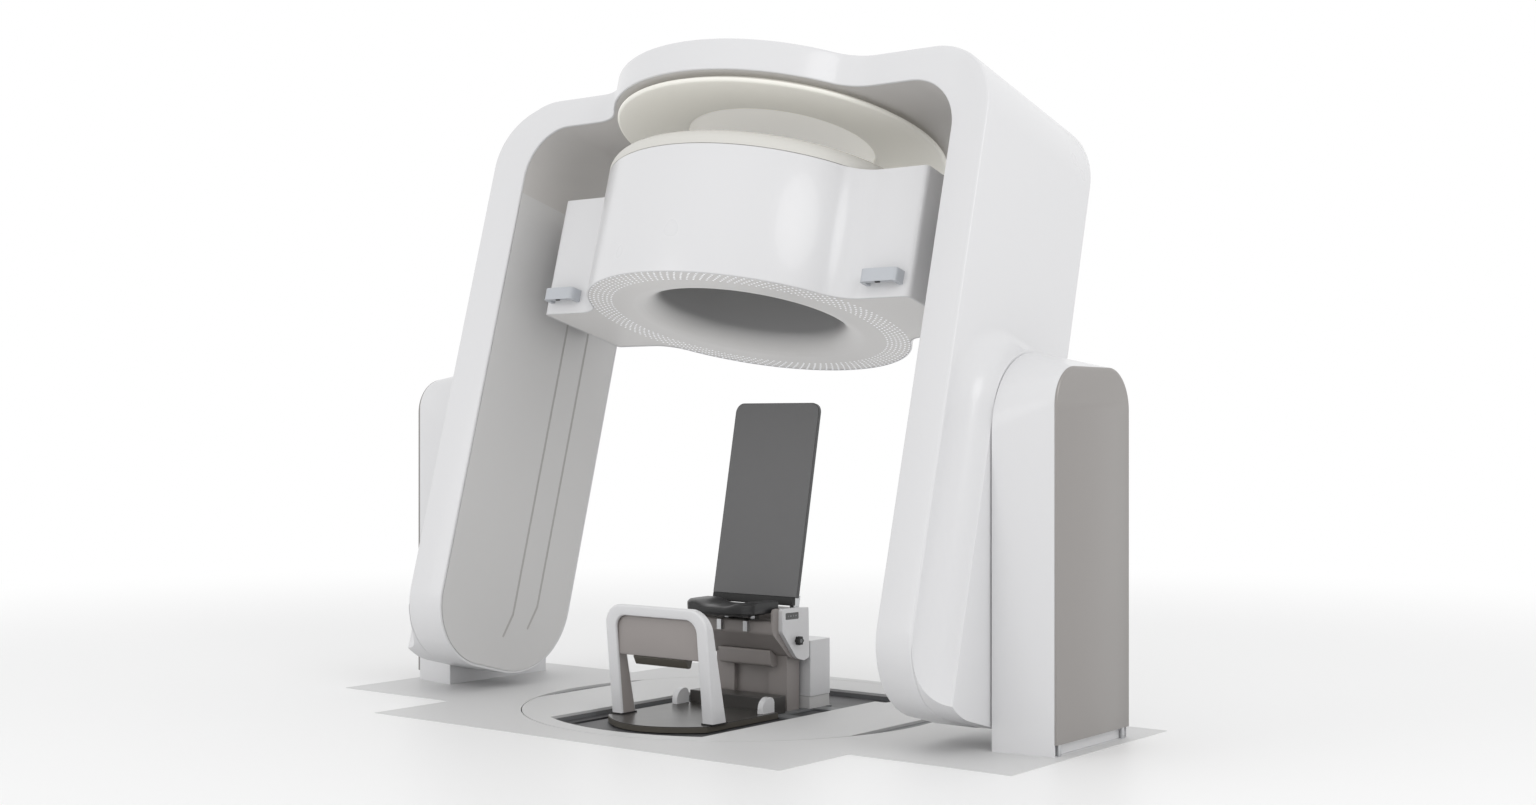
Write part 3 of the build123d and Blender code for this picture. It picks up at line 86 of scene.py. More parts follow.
def circle(radius, steps=96, centre=(0, 0)):
    return [(centre[0] + radius * math.cos(2 * math.pi * k / steps),
             centre[1] + radius * math.sin(2 * math.pi * k / steps)) for k in range(steps)]


AXES = {"x": lambda u, v, d: (d, u, v), "y": lambda u, v, d: (u, d, v), "z": lambda u, v, d: (u, v, d)}


def finish_mesh(name, mesh, body, material, bevel=0.0, segments=3, place=Matrix.Identity(4)):
    """Makes a piece of a bmesh: clean, outward, smooth with crisp rounded edges."""
    bmesh.ops.remove_doubles(mesh, verts=mesh.verts, dist=1e-6)
    bmesh.ops.recalc_face_normals(mesh, faces=mesh.faces)
    bmesh.ops.transform(mesh, matrix=place, verts=mesh.verts)
    data = bpy.data.meshes.new(name)
    mesh.to_mesh(data)
    mesh.free()
    for polygon in data.polygons:
        polygon.use_smooth = True
    piece = bpy.data.objects.new(name, data)
    bpy.context.scene.collection.objects.link(piece)
    data.materials.append(material)
    if bevel:
        edge = piece.modifiers.new("edge", "BEVEL")
        edge.width = bevel
        edge.segments = segments
        edge.limit_method = "ANGLE"
        edge.angle_limit = math.radians(32)
        edge.harden_normals = True
    else:
        data.set_sharp_from_angle(angle=math.radians(35))
    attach(piece, body)
    return piece


def slab(name, body, material, outline, holes, axis, low, high, bevel=0.0, segments=3,
         place=RAISED):
    """Flat piece between two planes across an axis, with an outline and holes."""
    mesh = bmesh.new()
    loops = [outline] + list(holes)
    put = AXES[axis]
    layers = []
    for depth in (low, high):
        layers.append([mesh.verts.new(put(u, v, depth)) for loop in loops for u, v in loop])
    flat = [[Vector((u, v, 0)) for u, v in loop] for loop in loops]
    for triangle in tessellate_polygon(flat):
        for layer in layers:
            mesh.faces.new([layer[i] for i in triangle])
    base = 0
    for loop in loops:
        count = len(loop)
        for k in range(count):
            a, b = base + k, base + (k + 1) % count
            mesh.faces.new((layers[0][a], layers[0][b], layers[1][b], layers[1][a]))
        base += count
    return finish_mesh(name, mesh, body, material, bevel, segments, place)


def skin(name, body, material, rings, place=RAISED, wrap=False):
    """Closed surface through rings of points.  The first and last ring are filled, or with wrap
    the last ring joins the first."""
    mesh = bmesh.new()
    rows = [[mesh.verts.new(point) for point in ring] for ring in rings]
    count = len(rows[0])
    pairs = list(zip(rows, rows[1:]))
    if wrap:
        pairs.append((rows[-1], rows[0]))
    for first, second in pairs:
        for k in range(count):
            n = (k + 1) % count
            mesh.faces.new((first[k], first[n], second[n], second[k]))
    if not wrap:
        mesh.faces.new(rows[0])
        mesh.faces.new(rows[-1])
    return finish_mesh(name, mesh, body, material, place=place)


def turned(name, body, material, profile, centre=(0, 0), place=RAISED):
    """Closed (radius, height) profile turned about a vertical axis."""
    rings = []
    for k in range(TURN_STEPS):
        angle = 2 * math.pi * k / TURN_STEPS
        rings.append([(centre[0] + r * math.cos(angle), centre[1] + r * math.sin(angle), z)
                      for r, z in profile])
    return skin(name, body, material, rings, wrap=True, place=place)


def mirrored(outline):
    return [(-u, v) for u, v in reversed(outline)]


# ---------------------------------------------------------------- materials
def shader(name, colour, roughness, metallic=0.0, coat=0.0, emission=0.0):
    """Principled material with fixed values on its sockets."""
    material = bpy.data.materials.new(name)
    material.use_nodes = True
    node = material.node_tree.nodes["Principled BSDF"]
    node.inputs["Base Color"].default_value = (*colour, 1)
    node.inputs["Roughness"].default_value = roughness
    node.inputs["Metallic"].default_value = metallic
    node.inputs["Coat Weight"].default_value = coat
    if emission:
        node.inputs["Emission Color"].default_value = (*colour, 1)
        node.inputs["Emission Strength"].default_value = emission
    return material


def add(material, kind, **values):
    node = material.node_tree.nodes.new(kind)
    for key, value in values.items():
        if key in node.inputs:
            node.inputs[key].default_value = value
        else:
            setattr(node, key, value)
    return node


COLOUR_A, COLOUR_B, COLOUR_MIXED = 6, 7, 2   # colour sockets of a Mix node
GRAIN_DEPTH = 0.0003


def vary(material, scale, amount, low, high, stretch=(1, 1, 1), bump=0.0, bump_scale=None):
    """Soft variation of colour and roughness over the surface, and a fine moulded grain."""
    tree = material.node_tree
    link = tree.links.new
    node = tree.nodes["Principled BSDF"]
    place = add(material, "ShaderNodeTexCoord")
    mapping = add(material, "ShaderNodeMapping", Scale=stretch)
    link(place.outputs["Object"], mapping.inputs["Vector"])
    noise = add(material, "ShaderNodeTexNoise", Scale=scale, Detail=3.0, Roughness=0.55)
    link(mapping.outputs["Vector"], noise.inputs["Vector"])
    colour = node.inputs["Base Color"].default_value[:3]
    mix = add(material, "ShaderNodeMix", data_type="RGBA")
    mix.inputs[COLOUR_B].default_value = (*[min(1.0, c * (1 + amount)) for c in colour], 1)
    mix.inputs[COLOUR_A].default_value = (*[c * (1 - amount) for c in colour], 1)
    link(noise.outputs["Fac"], mix.inputs["Factor"])
    link(mix.outputs[COLOUR_MIXED], node.inputs["Base Color"])
    spread = add(material, "ShaderNodeMapRange")
    spread.inputs["To Min"].default_value = low
    spread.inputs["To Max"].default_value = high
    link(noise.outputs["Fac"], spread.inputs["Value"])
    link(spread.outputs["Result"], node.inputs["Roughness"])
    if bump:
        grain = add(material, "ShaderNodeTexNoise", Scale=bump_scale, Detail=2.0)
        link(mapping.outputs["Vector"], grain.inputs["Vector"])
        height = add(material, "ShaderNodeBump", Strength=bump, Distance=GRAIN_DEPTH)
        link(grain.outputs["Fac"], height.inputs["Height"])
        link(height.outputs["Normal"], node.inputs["Normal"])
    return material


RIM_GREY = (0.74, 0.73, 0.72)
WHITE = vary(shader("white_gloss", (0.67, 0.67, 0.68), 0.28, coat=0.2), 1.2, 0.002, 0.26, 0.30,
             bump=0.04, bump_scale=700)
LINER = vary(shader("liner_satin", (0.60, 0.595, 0.59), 0.45), 2.0, 0.004, 0.42, 0.48,
             bump=0.15, bump_scale=900)
METAL_GREY = vary(shader("cover_metallic", (0.30, 0.285, 0.275), 0.36, metallic=0.35), 2.0, 0.02,
                  0.32, 0.42, bump=0.12, bump_scale=1500)
IVORY = vary(shader("ivory_cover", (0.62, 0.61, 0.575), 0.5), 2.0, 0.004, 0.47, 0.53,
             bump=0.08, bump_scale=900)
# The bore's dark grey, reached from the rim's grey along the axis, is painted shade inside the bore.
BORE_PAINTED_SHADE = vary(shader("bore_painted_shade", (0.30, 0.30, 0.305), 0.34), 2.0, 0.01, 0.31, 0.37,
            bump=0.06, bump_scale=900)
BAR = vary(shader("bar_grey", (0.47, 0.49, 0.52), 0.35), 8.0, 0.02, 0.3, 0.42, bump=0.1, bump_scale=1200)
FLOOR_GREY = vary(shader("floor_paint", (0.60, 0.60, 0.60), 0.5), 2.0, 0.015, 0.42, 0.6,
                  bump=0.25, bump_scale=700)
DECK = vary(shader("deck_dark", (0.055, 0.055, 0.058), 0.45), 5.0, 0.15, 0.35, 0.6,
            bump=0.3, bump_scale=500)
SMOKED = vary(shader("smoked_gloss", (0.048, 0.045, 0.042), 0.30), 6.0, 0.04, 0.27, 0.33,
              bump=0.06, bump_scale=800)
OLIVE = vary(shader("footplate_edge", (0.075, 0.068, 0.055), 0.4), 6.0, 0.05, 0.35, 0.5)
TAUPE = vary(shader("taupe_moulded", (0.30, 0.275, 0.265), 0.42), 5.0, 0.03, 0.38, 0.5,
             bump=0.25, bump_scale=900)
BLACK = vary(shader("seat_black", (0.022, 0.022, 0.023), 0.38), 8.0, 0.15, 0.3, 0.5,
             bump=0.4, bump_scale=600)
PANEL = vary(shader("back_panel", (0.115, 0.115, 0.117), 0.34, coat=0.15), 3.0, 0.04, 0.3, 0.42,
             bump=0.15, bump_scale=1200)
RUBBER = vary(shader("rubber_black", (0.015, 0.015, 0.015), 0.6), 10.0, 0.2, 0.5, 0.7,
              bump=0.4, bump_scale=800)
GLASS = vary(shader("display_glass", (0.012, 0.012, 0.014), 0.10, coat=0.8), 20.0, 0.05, 0.08, 0.14)
ICON = vary(shader("display_icons", (0.24, 0.25, 0.26), 0.4), 40.0, 0.02, 0.36, 0.44)
STEEL = vary(shader("steel", (0.55, 0.56, 0.57), 0.3, metallic=1.0), 6.0, 0.04, 0.22, 0.4,
             stretch=(1, 1, 12), bump=0.2, bump_scale=300)
PAINT = vary(shader("frame_paint", (0.17, 0.175, 0.18), 0.5), 6.0, 0.05, 0.45, 0.6,
             bump=0.2, bump_scale=700)
DOTS = vary(shader("light_dots", (0.90, 0.91, 0.94), 0.3, emission=0.35), 60.0, 0.01, 0.26, 0.34)
STRIP = vary(shader("guide_strip", (0.42, 0.41, 0.40), 0.5), 6.0, 0.02, 0.45, 0.55)
CEILING = vary(shader("ceiling_lining", (0.56, 0.545, 0.53), 0.5), 3.0, 0.012, 0.45, 0.55)
UNDERSIDE = vary(shader("ring_underside", RIM_GREY, 0.4), 2.0, 0.004, 0.37, 0.43,
                 bump=0.06, bump_scale=900)
# The ceiling light's ring and dome glow faintly: painted light that makes them look evenly lit.
IVORY_PAINTED_LIGHT = vary(shader("ceiling_painted_light", (0.80, 0.785, 0.73), 0.5, emission=0.10), 2.0, 0.004, 0.47, 0.53,
                  bump=0.05, bump_scale=900)
DOME_PAINTED_LIGHT = vary(shader("dome_painted_light", (0.84, 0.825, 0.78), 0.5, emission=0.28), 2.0, 0.004, 0.47, 0.53,
                 bump=0.05, bump_scale=900)
PANEL_EDGE = vary(shader("back_edge", (0.05, 0.05, 0.052), 0.3, coat=0.2), 3.0, 0.04, 0.26, 0.36)



def paint_bore_shade(material, rim):
    """Painted shade: runs the colour from the light rim into the dark bore along the scanner's axis."""
    tree = material.node_tree
    link = tree.links.new
    base = tree.nodes["Principled BSDF"].inputs["Base Color"]
    deep = base.links[0].from_socket
    place = add(material, "ShaderNodeTexCoord")
    along = add(material, "ShaderNodeVectorMath", operation="DOT_PRODUCT")
    along.inputs[1].default_value = (0, math.sin(LEAN), math.cos(LEAN))
    link(place.outputs["Object"], along.inputs[0])
    depth = add(material, "ShaderNodeMapRange", interpolation_type="SMOOTHSTEP")
    depth.inputs["From Min"].default_value = PIVOT * math.cos(LEAN) + 0.492
    depth.inputs["From Max"].default_value = PIVOT * math.cos(LEAN) + 0.600
    link(along.outputs["Value"], depth.inputs["Value"])
    mix = add(material, "ShaderNodeMix", data_type="RGBA")
    mix.inputs[COLOUR_A].default_value = (*rim, 1)
    link(deep, mix.inputs[COLOUR_B])
    link(depth.outputs["Result"], mix.inputs["Factor"])
    link(mix.outputs[COLOUR_MIXED], base)


# Painted shade: the bore darkens from the rim's grey along the scanner's axis.
paint_bore_shade(BORE_PAINTED_SHADE, RIM_GREY)

SLOT_LOOK = {
    "steel_frame": PAINT, "bright_steel": STEEL, "alloy": STEEL, "motor_black": RUBBER,
    "white_shell": WHITE, "liner_grey": LINER, "cover_grey": METAL_GREY, "ivory": IVORY,
    "bore_grey": BORE_PAINTED_SHADE, "bar_grey": BAR, "button_black": RUBBER, "tube_lead": PAINT,
    "detector_black": RUBBER, "floor_grey": FLOOR_GREY, "deck_dark": DECK, "smoked_gloss": SMOKED,
    "taupe": TAUPE, "display_glass": GLASS, "seat_black": BLACK, "back_black": PANEL,
}
for part in frame["record"]["subparts"]:
    node = frame["nodes"][part["node"]]
    node.data.materials.clear()
    node.data.materials.append(SLOT_LOOK[part["material_slot"]])


# ---------------------------------------------------------------- portal
LEG_IN, LEG_OUT = 1.229, 1.415
LEG_BOTTOM, SEAM = -1.205, 1.080
LEG_FRONT, LEG_REAR = -0.453, 0.413
LEG_SPLAY = 0.031                  # how much further forward the front is at the outer side
LEG_CORNERS = (0.312, 0.370)       # rounding of the foot, front and rear
RIM = 0.012                        # wall of the shells round the liners
RING_S = -0.040                    # middle of the ring, front to back
BULGE_S = -0.020                   # middle of the canopy's bulge
CANOPY_TOP, CEILING_LEVEL = 1.541, 1.398
BOSS_HALF = 0.318                  # half width and top of the fairing at its outer face
BOSS_FLARE = (0.150, 0.080, 0.074)  # how much it grows to the leg: front, rear, top
BOSS_OUT = 1.533                   # outer face of the pivot fairings


def quarter(radius, steps=4):
    """Rounded edge as (sideways, depth) pairs, from the side to the face."""
    return [(radius * (1 - math.cos(math.pi / 2 * k / steps)),
             radius * (1 - math.sin(math.pi / 2 * k / steps))) for k in range(steps + 1)]


def leg_ring(x, inset, sign=1):
    front = LEG_FRONT - LEG_SPLAY * (x - LEG_IN) / (LEG_OUT - LEG_IN) + inset
    rear = LEG_REAR - inset
    points = [(front, LEG_BOTTOM + inset), (rear, LEG_BOTTOM + inset), (rear, SEAM),
              (front, SEAM)]
    radii = [LEG_CORNERS[0] - inset, LEG_CORNERS[1] - inset, 0, 0]
    return [(sign * x, s, t) for s, t in rounded(points, radii, 28)]


def guide_slot(s, low):
    """Narrow slot whose lower end bends forwards."""
    half = 0.0065
    top, end, bend = 1.064, low - 0.120, s - 0.040
    return rounded([(s - half, top), (s - half, low + 0.002), (bend - half, end),
                    (bend + half, end), (s + half, low - 0.002), (s + half, top)],
                   [0.006, 0.05, 0.006, 0.006, 0.05, 0.006], 6)


def legs():
    for side, sign in (("right", 1), ("left", -1)):
        rings = [leg_ring(LEG_IN + 0.014, RIM, sign), leg_ring(LEG_IN + 0.0015, RIM, sign),
                 leg_ring(LEG_IN, RIM - 0.0015, sign)]
        rings += [leg_ring(LEG_IN + a, b, sign) for a, b in quarter(0.006)]
        rings += [leg_ring(LEG_OUT - a, b, sign) for b, a in quarter(0.010)]
        shell = skin(f"leg_{side}", "portal", WHITE, rings, place=LEANED)
        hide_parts("leg_shells")
        slots = [guide_slot(0.032, -0.920), guide_slot(0.185, -0.855)]
        outline = [(s, t) for _, s, t in leg_ring(LEG_IN, RIM + 0.0015)]
        low, high = sorted((sign * LEG_IN, sign * (LEG_IN + 0.008)))
        liner = slab(f"leg_liner_{side}", "portal", LINER, outline, slots, "x", low, high,
                     place=LEANED)
        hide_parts("leg_liners")
        for name, slot in zip(("front", "rear"), slots):
            low, high = sorted((sign * (LEG_IN + 0.0015), sign * (LEG_IN + 0.006)))
            strip = slab(f"guide_strip_{name}_{side}", "portal", STRIP, slot, [], "x", low, high,
                         place=LEANED)
            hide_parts("leg_liners")


def plan_front(x):
    x = abs(x)
    if x > LEG_IN:
        return LEG_FRONT - LEG_SPLAY * (x - LEG_IN) / (LEG_OUT - LEG_IN)
    return BULGE_S - bulge(x)


def plan_rear(x):
    return BULGE_S + bulge(abs(x))


def bulge(x):
    """Half depth of the canopy: flat over the legs, round in the middle, a hollow blend."""
    flat = (LEG_REAR - LEG_FRONT) / 2
    radius, blend = 0.805, 0.220
    reach = radius + blend
    run = math.sqrt(reach ** 2 - (flat + blend) ** 2)
    if x >= run:
        return flat
    if x > run * radius / reach:
        return flat + blend - math.sqrt(blend ** 2 - (x - run) ** 2)
    return math.sqrt(radius ** 2 - x ** 2)


def arch_path():
    """Pairs of outer and inner (x, t) points up one side, across and down the other."""
    def half(width, top, corner):
        out = [(width, SEAM)]
        for k in range(25):
            angle = math.pi / 2 * k / 24
            out.append((width - corner * (1 - math.cos(angle)), top - corner * (1 - math.sin(angle))))
        return out
    outer = half(LEG_OUT, CANOPY_TOP, 0.330)
    inner = half(LEG_IN, CEILING_LEVEL, 0.240)
    side = len(outer)
    across = 90
    for path in (outer, inner):
        end, top = path[-1]
        path += [(end * (1 - 2 * k / across), top) for k in range(1, across)]
    pairs = list(zip(outer, inner))
    return pairs + [((-o[0], o[1]), (-i[0], i[1])) for o, i in reversed(pairs[:side])]


def arch_section(outer, inner, marks):
    """Closed section loop: marks are (distance from the outer face, inset from the front)."""
    depth = math.dist(outer, inner)
    loop = []
    for side, plan in ((1, plan_front), (-1, plan_rear)):
        half = []
        for share, across, inset in marks:
            f = share + across / depth
            x = outer[0] + (inner[0] - outer[0]) * f
            t = outer[1] + (inner[1] - outer[1]) * f
            half.append((x, plan(x) + side * inset, t))
        loop += half if side == 1 else list(reversed(half))
    return loop


def canopy():
    marks = [(0, a, b) for a, b in quarter(0.010)]
    marks += [(0.25, 0, 0), (0.5, 0, 0), (0.75, 0, 0)]
    marks += [(1, -a, b) for a, b in reversed(quarter(0.006))]
    marks += [(1, 0, RIM), (1, -0.014, RIM)]
    path = arch_path()
    shell = skin("canopy", "portal", WHITE, [arch_section(o, i, marks) for o, i in path], place=LEANED)
    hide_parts("canopy_shell")
    marks = [(1, 0, RIM + 0.0015), (1, -0.008, RIM + 0.0015)]
    lining = skin("canopy_lining", "portal", CEILING, [arch_section(o, i, marks) for o, i in path],
                  place=LEANED)
    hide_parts("canopy_liner")


def boss_ring(x, sign, inset=0.0):
    """Outline of the pivot fairing: round top, straight sides, foot on the leg's corners."""
    share = 1 - math.sqrt(1 - ((BOSS_OUT - x) / (BOSS_OUT - LEG_OUT)) ** 2)
    front, rear, top = [BOSS_HALF + flare * share - inset for flare in BOSS_FLARE]
    corner = 0.93 * top
    foot = []
    lines = (LEG_FRONT - LEG_SPLAY, LEG_REAR)
    for line, radius, side in zip(lines, LEG_CORNERS, (-1, 1)):
        foot.append(((line - side * radius, LEG_BOTTOM + radius), radius - 0.003))
    (fore, fore_radius), (aft, aft_radius) = foot
    down = 1.5 * math.pi
    arcs = [(fore, fore_radius, math.pi + math.acos((front + fore[0]) / fore_radius), down),
            (aft, aft_radius, down, 2 * math.pi - math.acos((rear - aft[0]) / aft_radius)),
            ((rear - corner, top - corner), corner, 0, math.pi / 2),
            ((corner - front, top - corner), corner, math.pi / 2, math.pi)]
    out = []
    for (s, t), radius, start, end in arcs:
        for k in range(25):
            angle = start + (end - start) * k / 24
            out.append((sign * x, s + radius * math.cos(angle), t + radius * math.sin(angle)))
    return out


def fairings():
    depth = BOSS_OUT - LEG_OUT
    for side, sign in (("right", 1), ("left", -1)):
        rings = [boss_ring(LEG_OUT + (depth - 0.003) * (k / 18) ** 2, sign) for k in range(19)]
        rings += [boss_ring(BOSS_OUT - 0.0008, sign, 0.001), boss_ring(BOSS_OUT, sign, 0.003)]
        piece = skin(f"fairing_{side}", "portal", WHITE, rings, place=LEANED)
        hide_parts("pivot_fairings")


def ceiling_light():
    outer, low, top = 0.778, CEILING_LEVEL - 0.044, CEILING_LEVEL - 0.0005
    profile = [(outer - 0.050, top), (outer - 0.050, low + 0.019), (outer - 0.003, low + 0.019),
               (outer, low + 0.016)]
    profile += [(outer - 0.014 + 0.014 * math.cos(a), low + 0.014 - 0.014 * math.sin(a))
                for a in [math.pi / 2 * k / 8 for k in range(9)]]
    for k in range(1, 13):
        share = k / 12
        profile.append((outer - 0.020 - 0.267 * share, low + 0.012 * math.sin(math.pi / 2 * share)))
    profile += [(0.462, low + 0.011), (0.450, low + 0.012), (0.443, low + 0.015), (0.440, low + 0.020),
                (0.440, top)]
    # painted light: the ring and the dome glow faintly to look lit
    ring = turned("ceiling_ring", "portal", IVORY_PAINTED_LIGHT, profile, (0, BULGE_S), place=LEANED)
    dome = [(0.439, top), (0.439, low + 0.030)]
    dome += [(0.439 * (1 - k / 12), low + 0.030 + 0.010 * math.sin(math.pi / 2 * k / 12))
             for k in range(1, 12)]
    dome += [(0.004, low + 0.040), (0.004, top)]
    disc = turned("ceiling_dome", "portal", DOME_PAINTED_LIGHT, dome, (0, BULGE_S), place=LEANED)
    for piece in (ring, disc):
        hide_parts("ceiling_light")


# ---------------------------------------------------------------- pedestals
PEDESTAL_IN, PEDESTAL_END, PEDESTAL_OUT = 1.539, 1.798, 1.810
INNER_SHAPE = (0.334, 1.567, 0.326)   # half width, top and corner at the portal's side
OUTER_SHAPE = (0.298, 1.503, 0.155)   # the same at the cover
COVER_FOOT = 0.046


def arched(x, half, top, corner, foot, sign):
    """Upright outline with square feet and two rounded shoulders."""
    points = [(-half, foot), (half, foot), (half, top), (-half, top)]
    return [(sign * x, s, t) for s, t in rounded(points, [0, 0, corner, corner], 28)]


def pedestal_ring(x, inset, sign, foot=0.0):
    share = (x - PEDESTAL_IN) / (PEDESTAL_END - PEDESTAL_IN)
    shape = [a + (b - a) * share - inset for a, b in zip(INNER_SHAPE, OUTER_SHAPE)]
    return arched(x, *shape, foot, sign)


def cover_ring(x, share, sign):
    """Outline of the grey cover; only its top rolls back towards the outer face."""
    half, top, corner = OUTER_SHAPE
    return arched(x, half - 0.002 * share, top - 0.022 * share, corner - 0.002 * share, COVER_FOOT, sign)


def pedestals():
    for side, sign in (("right", 1), ("left", -1)):
        rings = [pedestal_ring(PEDESTAL_IN + a, b, sign) for a, b in quarter(0.004)]
        rings += [pedestal_ring(PEDESTAL_IN + 0.256 * k / 8, 0, sign) for k in range(1, 9)]
        # the outer end is open, and its inside runs back behind the cover and the toe plate
        rings += [pedestal_ring(PEDESTAL_END - 0.0005, 0.0003, sign),
                  pedestal_ring(PEDESTAL_END, 0.001, sign),
                  pedestal_ring(PEDESTAL_END, 0.004, sign, 0.0006),
                  pedestal_ring(PEDESTAL_END - 0.030, 0.004, sign, 0.0006)]
        body = skin(f"pedestal_{side}", "root", WHITE, rings)
        low, high = sorted((sign * 1.780, sign * 1.786))
        toe = slab(f"pedestal_skirting_{side}", "root", WHITE,
                   [(-0.291, 0.001), (0.291, 0.001), (0.291, 0.060), (-0.291, 0.060)], [], "x", low, high,
                   0.002)
        for piece in (body, toe):
            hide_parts("pedestal_bodies")
        depth = PEDESTAL_OUT - PEDESTAL_END - 0.001
        rings = []
        for k in range(9):
            angle = math.pi / 2 * k / 8
            rings.append(cover_ring(PEDESTAL_END + 0.001 + depth * math.sin(angle), 1 - math.cos(angle),
                                    sign))
        cover = skin(f"pedestal_cover_{side}", "root", METAL_GREY, rings)
        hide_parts("pedestal_covers")


# ---------------------------------------------------------------- ring scanner
RING_RADIUS = 0.753
RING_LOW, SIDE_TOP, RING_HIGH = 0.489, 1.070, 1.150
THROAT, LIP = 0.425, 0.540
EAR_X, EAR_HALF = 1.050, 0.275     # reach and half depth of the drum's ears
COVER_BASE = RING_LOW + 0.003      # underside of the bottom cover
BELL_HEIGHT = 0.096
SHOULDER, INNER_SHOULDER = 0.066, 0.040
BAR_IN, BAR_OUT = 0.828, 1.012
BAR_FRONT, BAR_REAR = -0.377, -0.314
BAR_WIDTH = 0.020
DOT_COUNT = 130                    # light dots in each of six rows


def ring_outline(inset=0.0):
    """Plan of the drum and its two ears, going round once."""
    radius = RING_RADIUS - inset
    ear_x = EAR_X - inset
    half = EAR_HALF - inset
    blend = 0.170 + inset
    corner = 0.026 - inset
    # the hollow blend touches both the drum's circle and the ear's flat side
    centre_y = half + blend
    centre_x = math.sqrt((radius + blend) ** 2 - centre_y ** 2)
    start = math.atan2(centre_y, centre_x)
    quadrant = [(ear_x, 0.0)]
    for k in range(7):
        angle = math.pi / 2 * k / 6
        quadrant.append((ear_x - corner * (1 - math.cos(angle)), half - corner * (1 - math.sin(angle))))
    for k in range(15):
        angle = -math.pi / 2 - (math.pi / 2 - start) * k / 14
        quadrant.append((centre_x + blend * math.cos(angle), centre_y + blend * math.sin(angle)))
    for k in range(1, 25):
        angle = start + (math.pi / 2 - start) * k / 24
        quadrant.append((radius * math.cos(angle), radius * math.sin(angle)))
    upper = quadrant + [(-x, y) for x, y in reversed(quadrant[:-1])]
    full = upper + [(x, -y) for x, y in reversed(upper[1:-1])]
    return [(x, y + RING_S) for x, y in full]


def ring_level(t, inset):
    return [(x, s, t) for x, s in ring_outline(inset)]


def bell_points(start, end, steps):
    """Quarter ellipse of the bell mouth; 90 degrees at the bottom, 0 at the throat."""
    out = []
    for k in range(steps + 1):
        angle = math.radians(start + (end - start) * k / steps)
        out.append((LIP - (LIP - THROAT) * math.cos(angle),
                    COVER_BASE + BELL_HEIGHT * (1 - math.sin(angle))))
    return out


def thick(points, depth):
    """Closed profile: the points, then the same points set back away from the bore."""
    back = [(r + depth, t + depth) for r, t in reversed(points)]
    return points + back


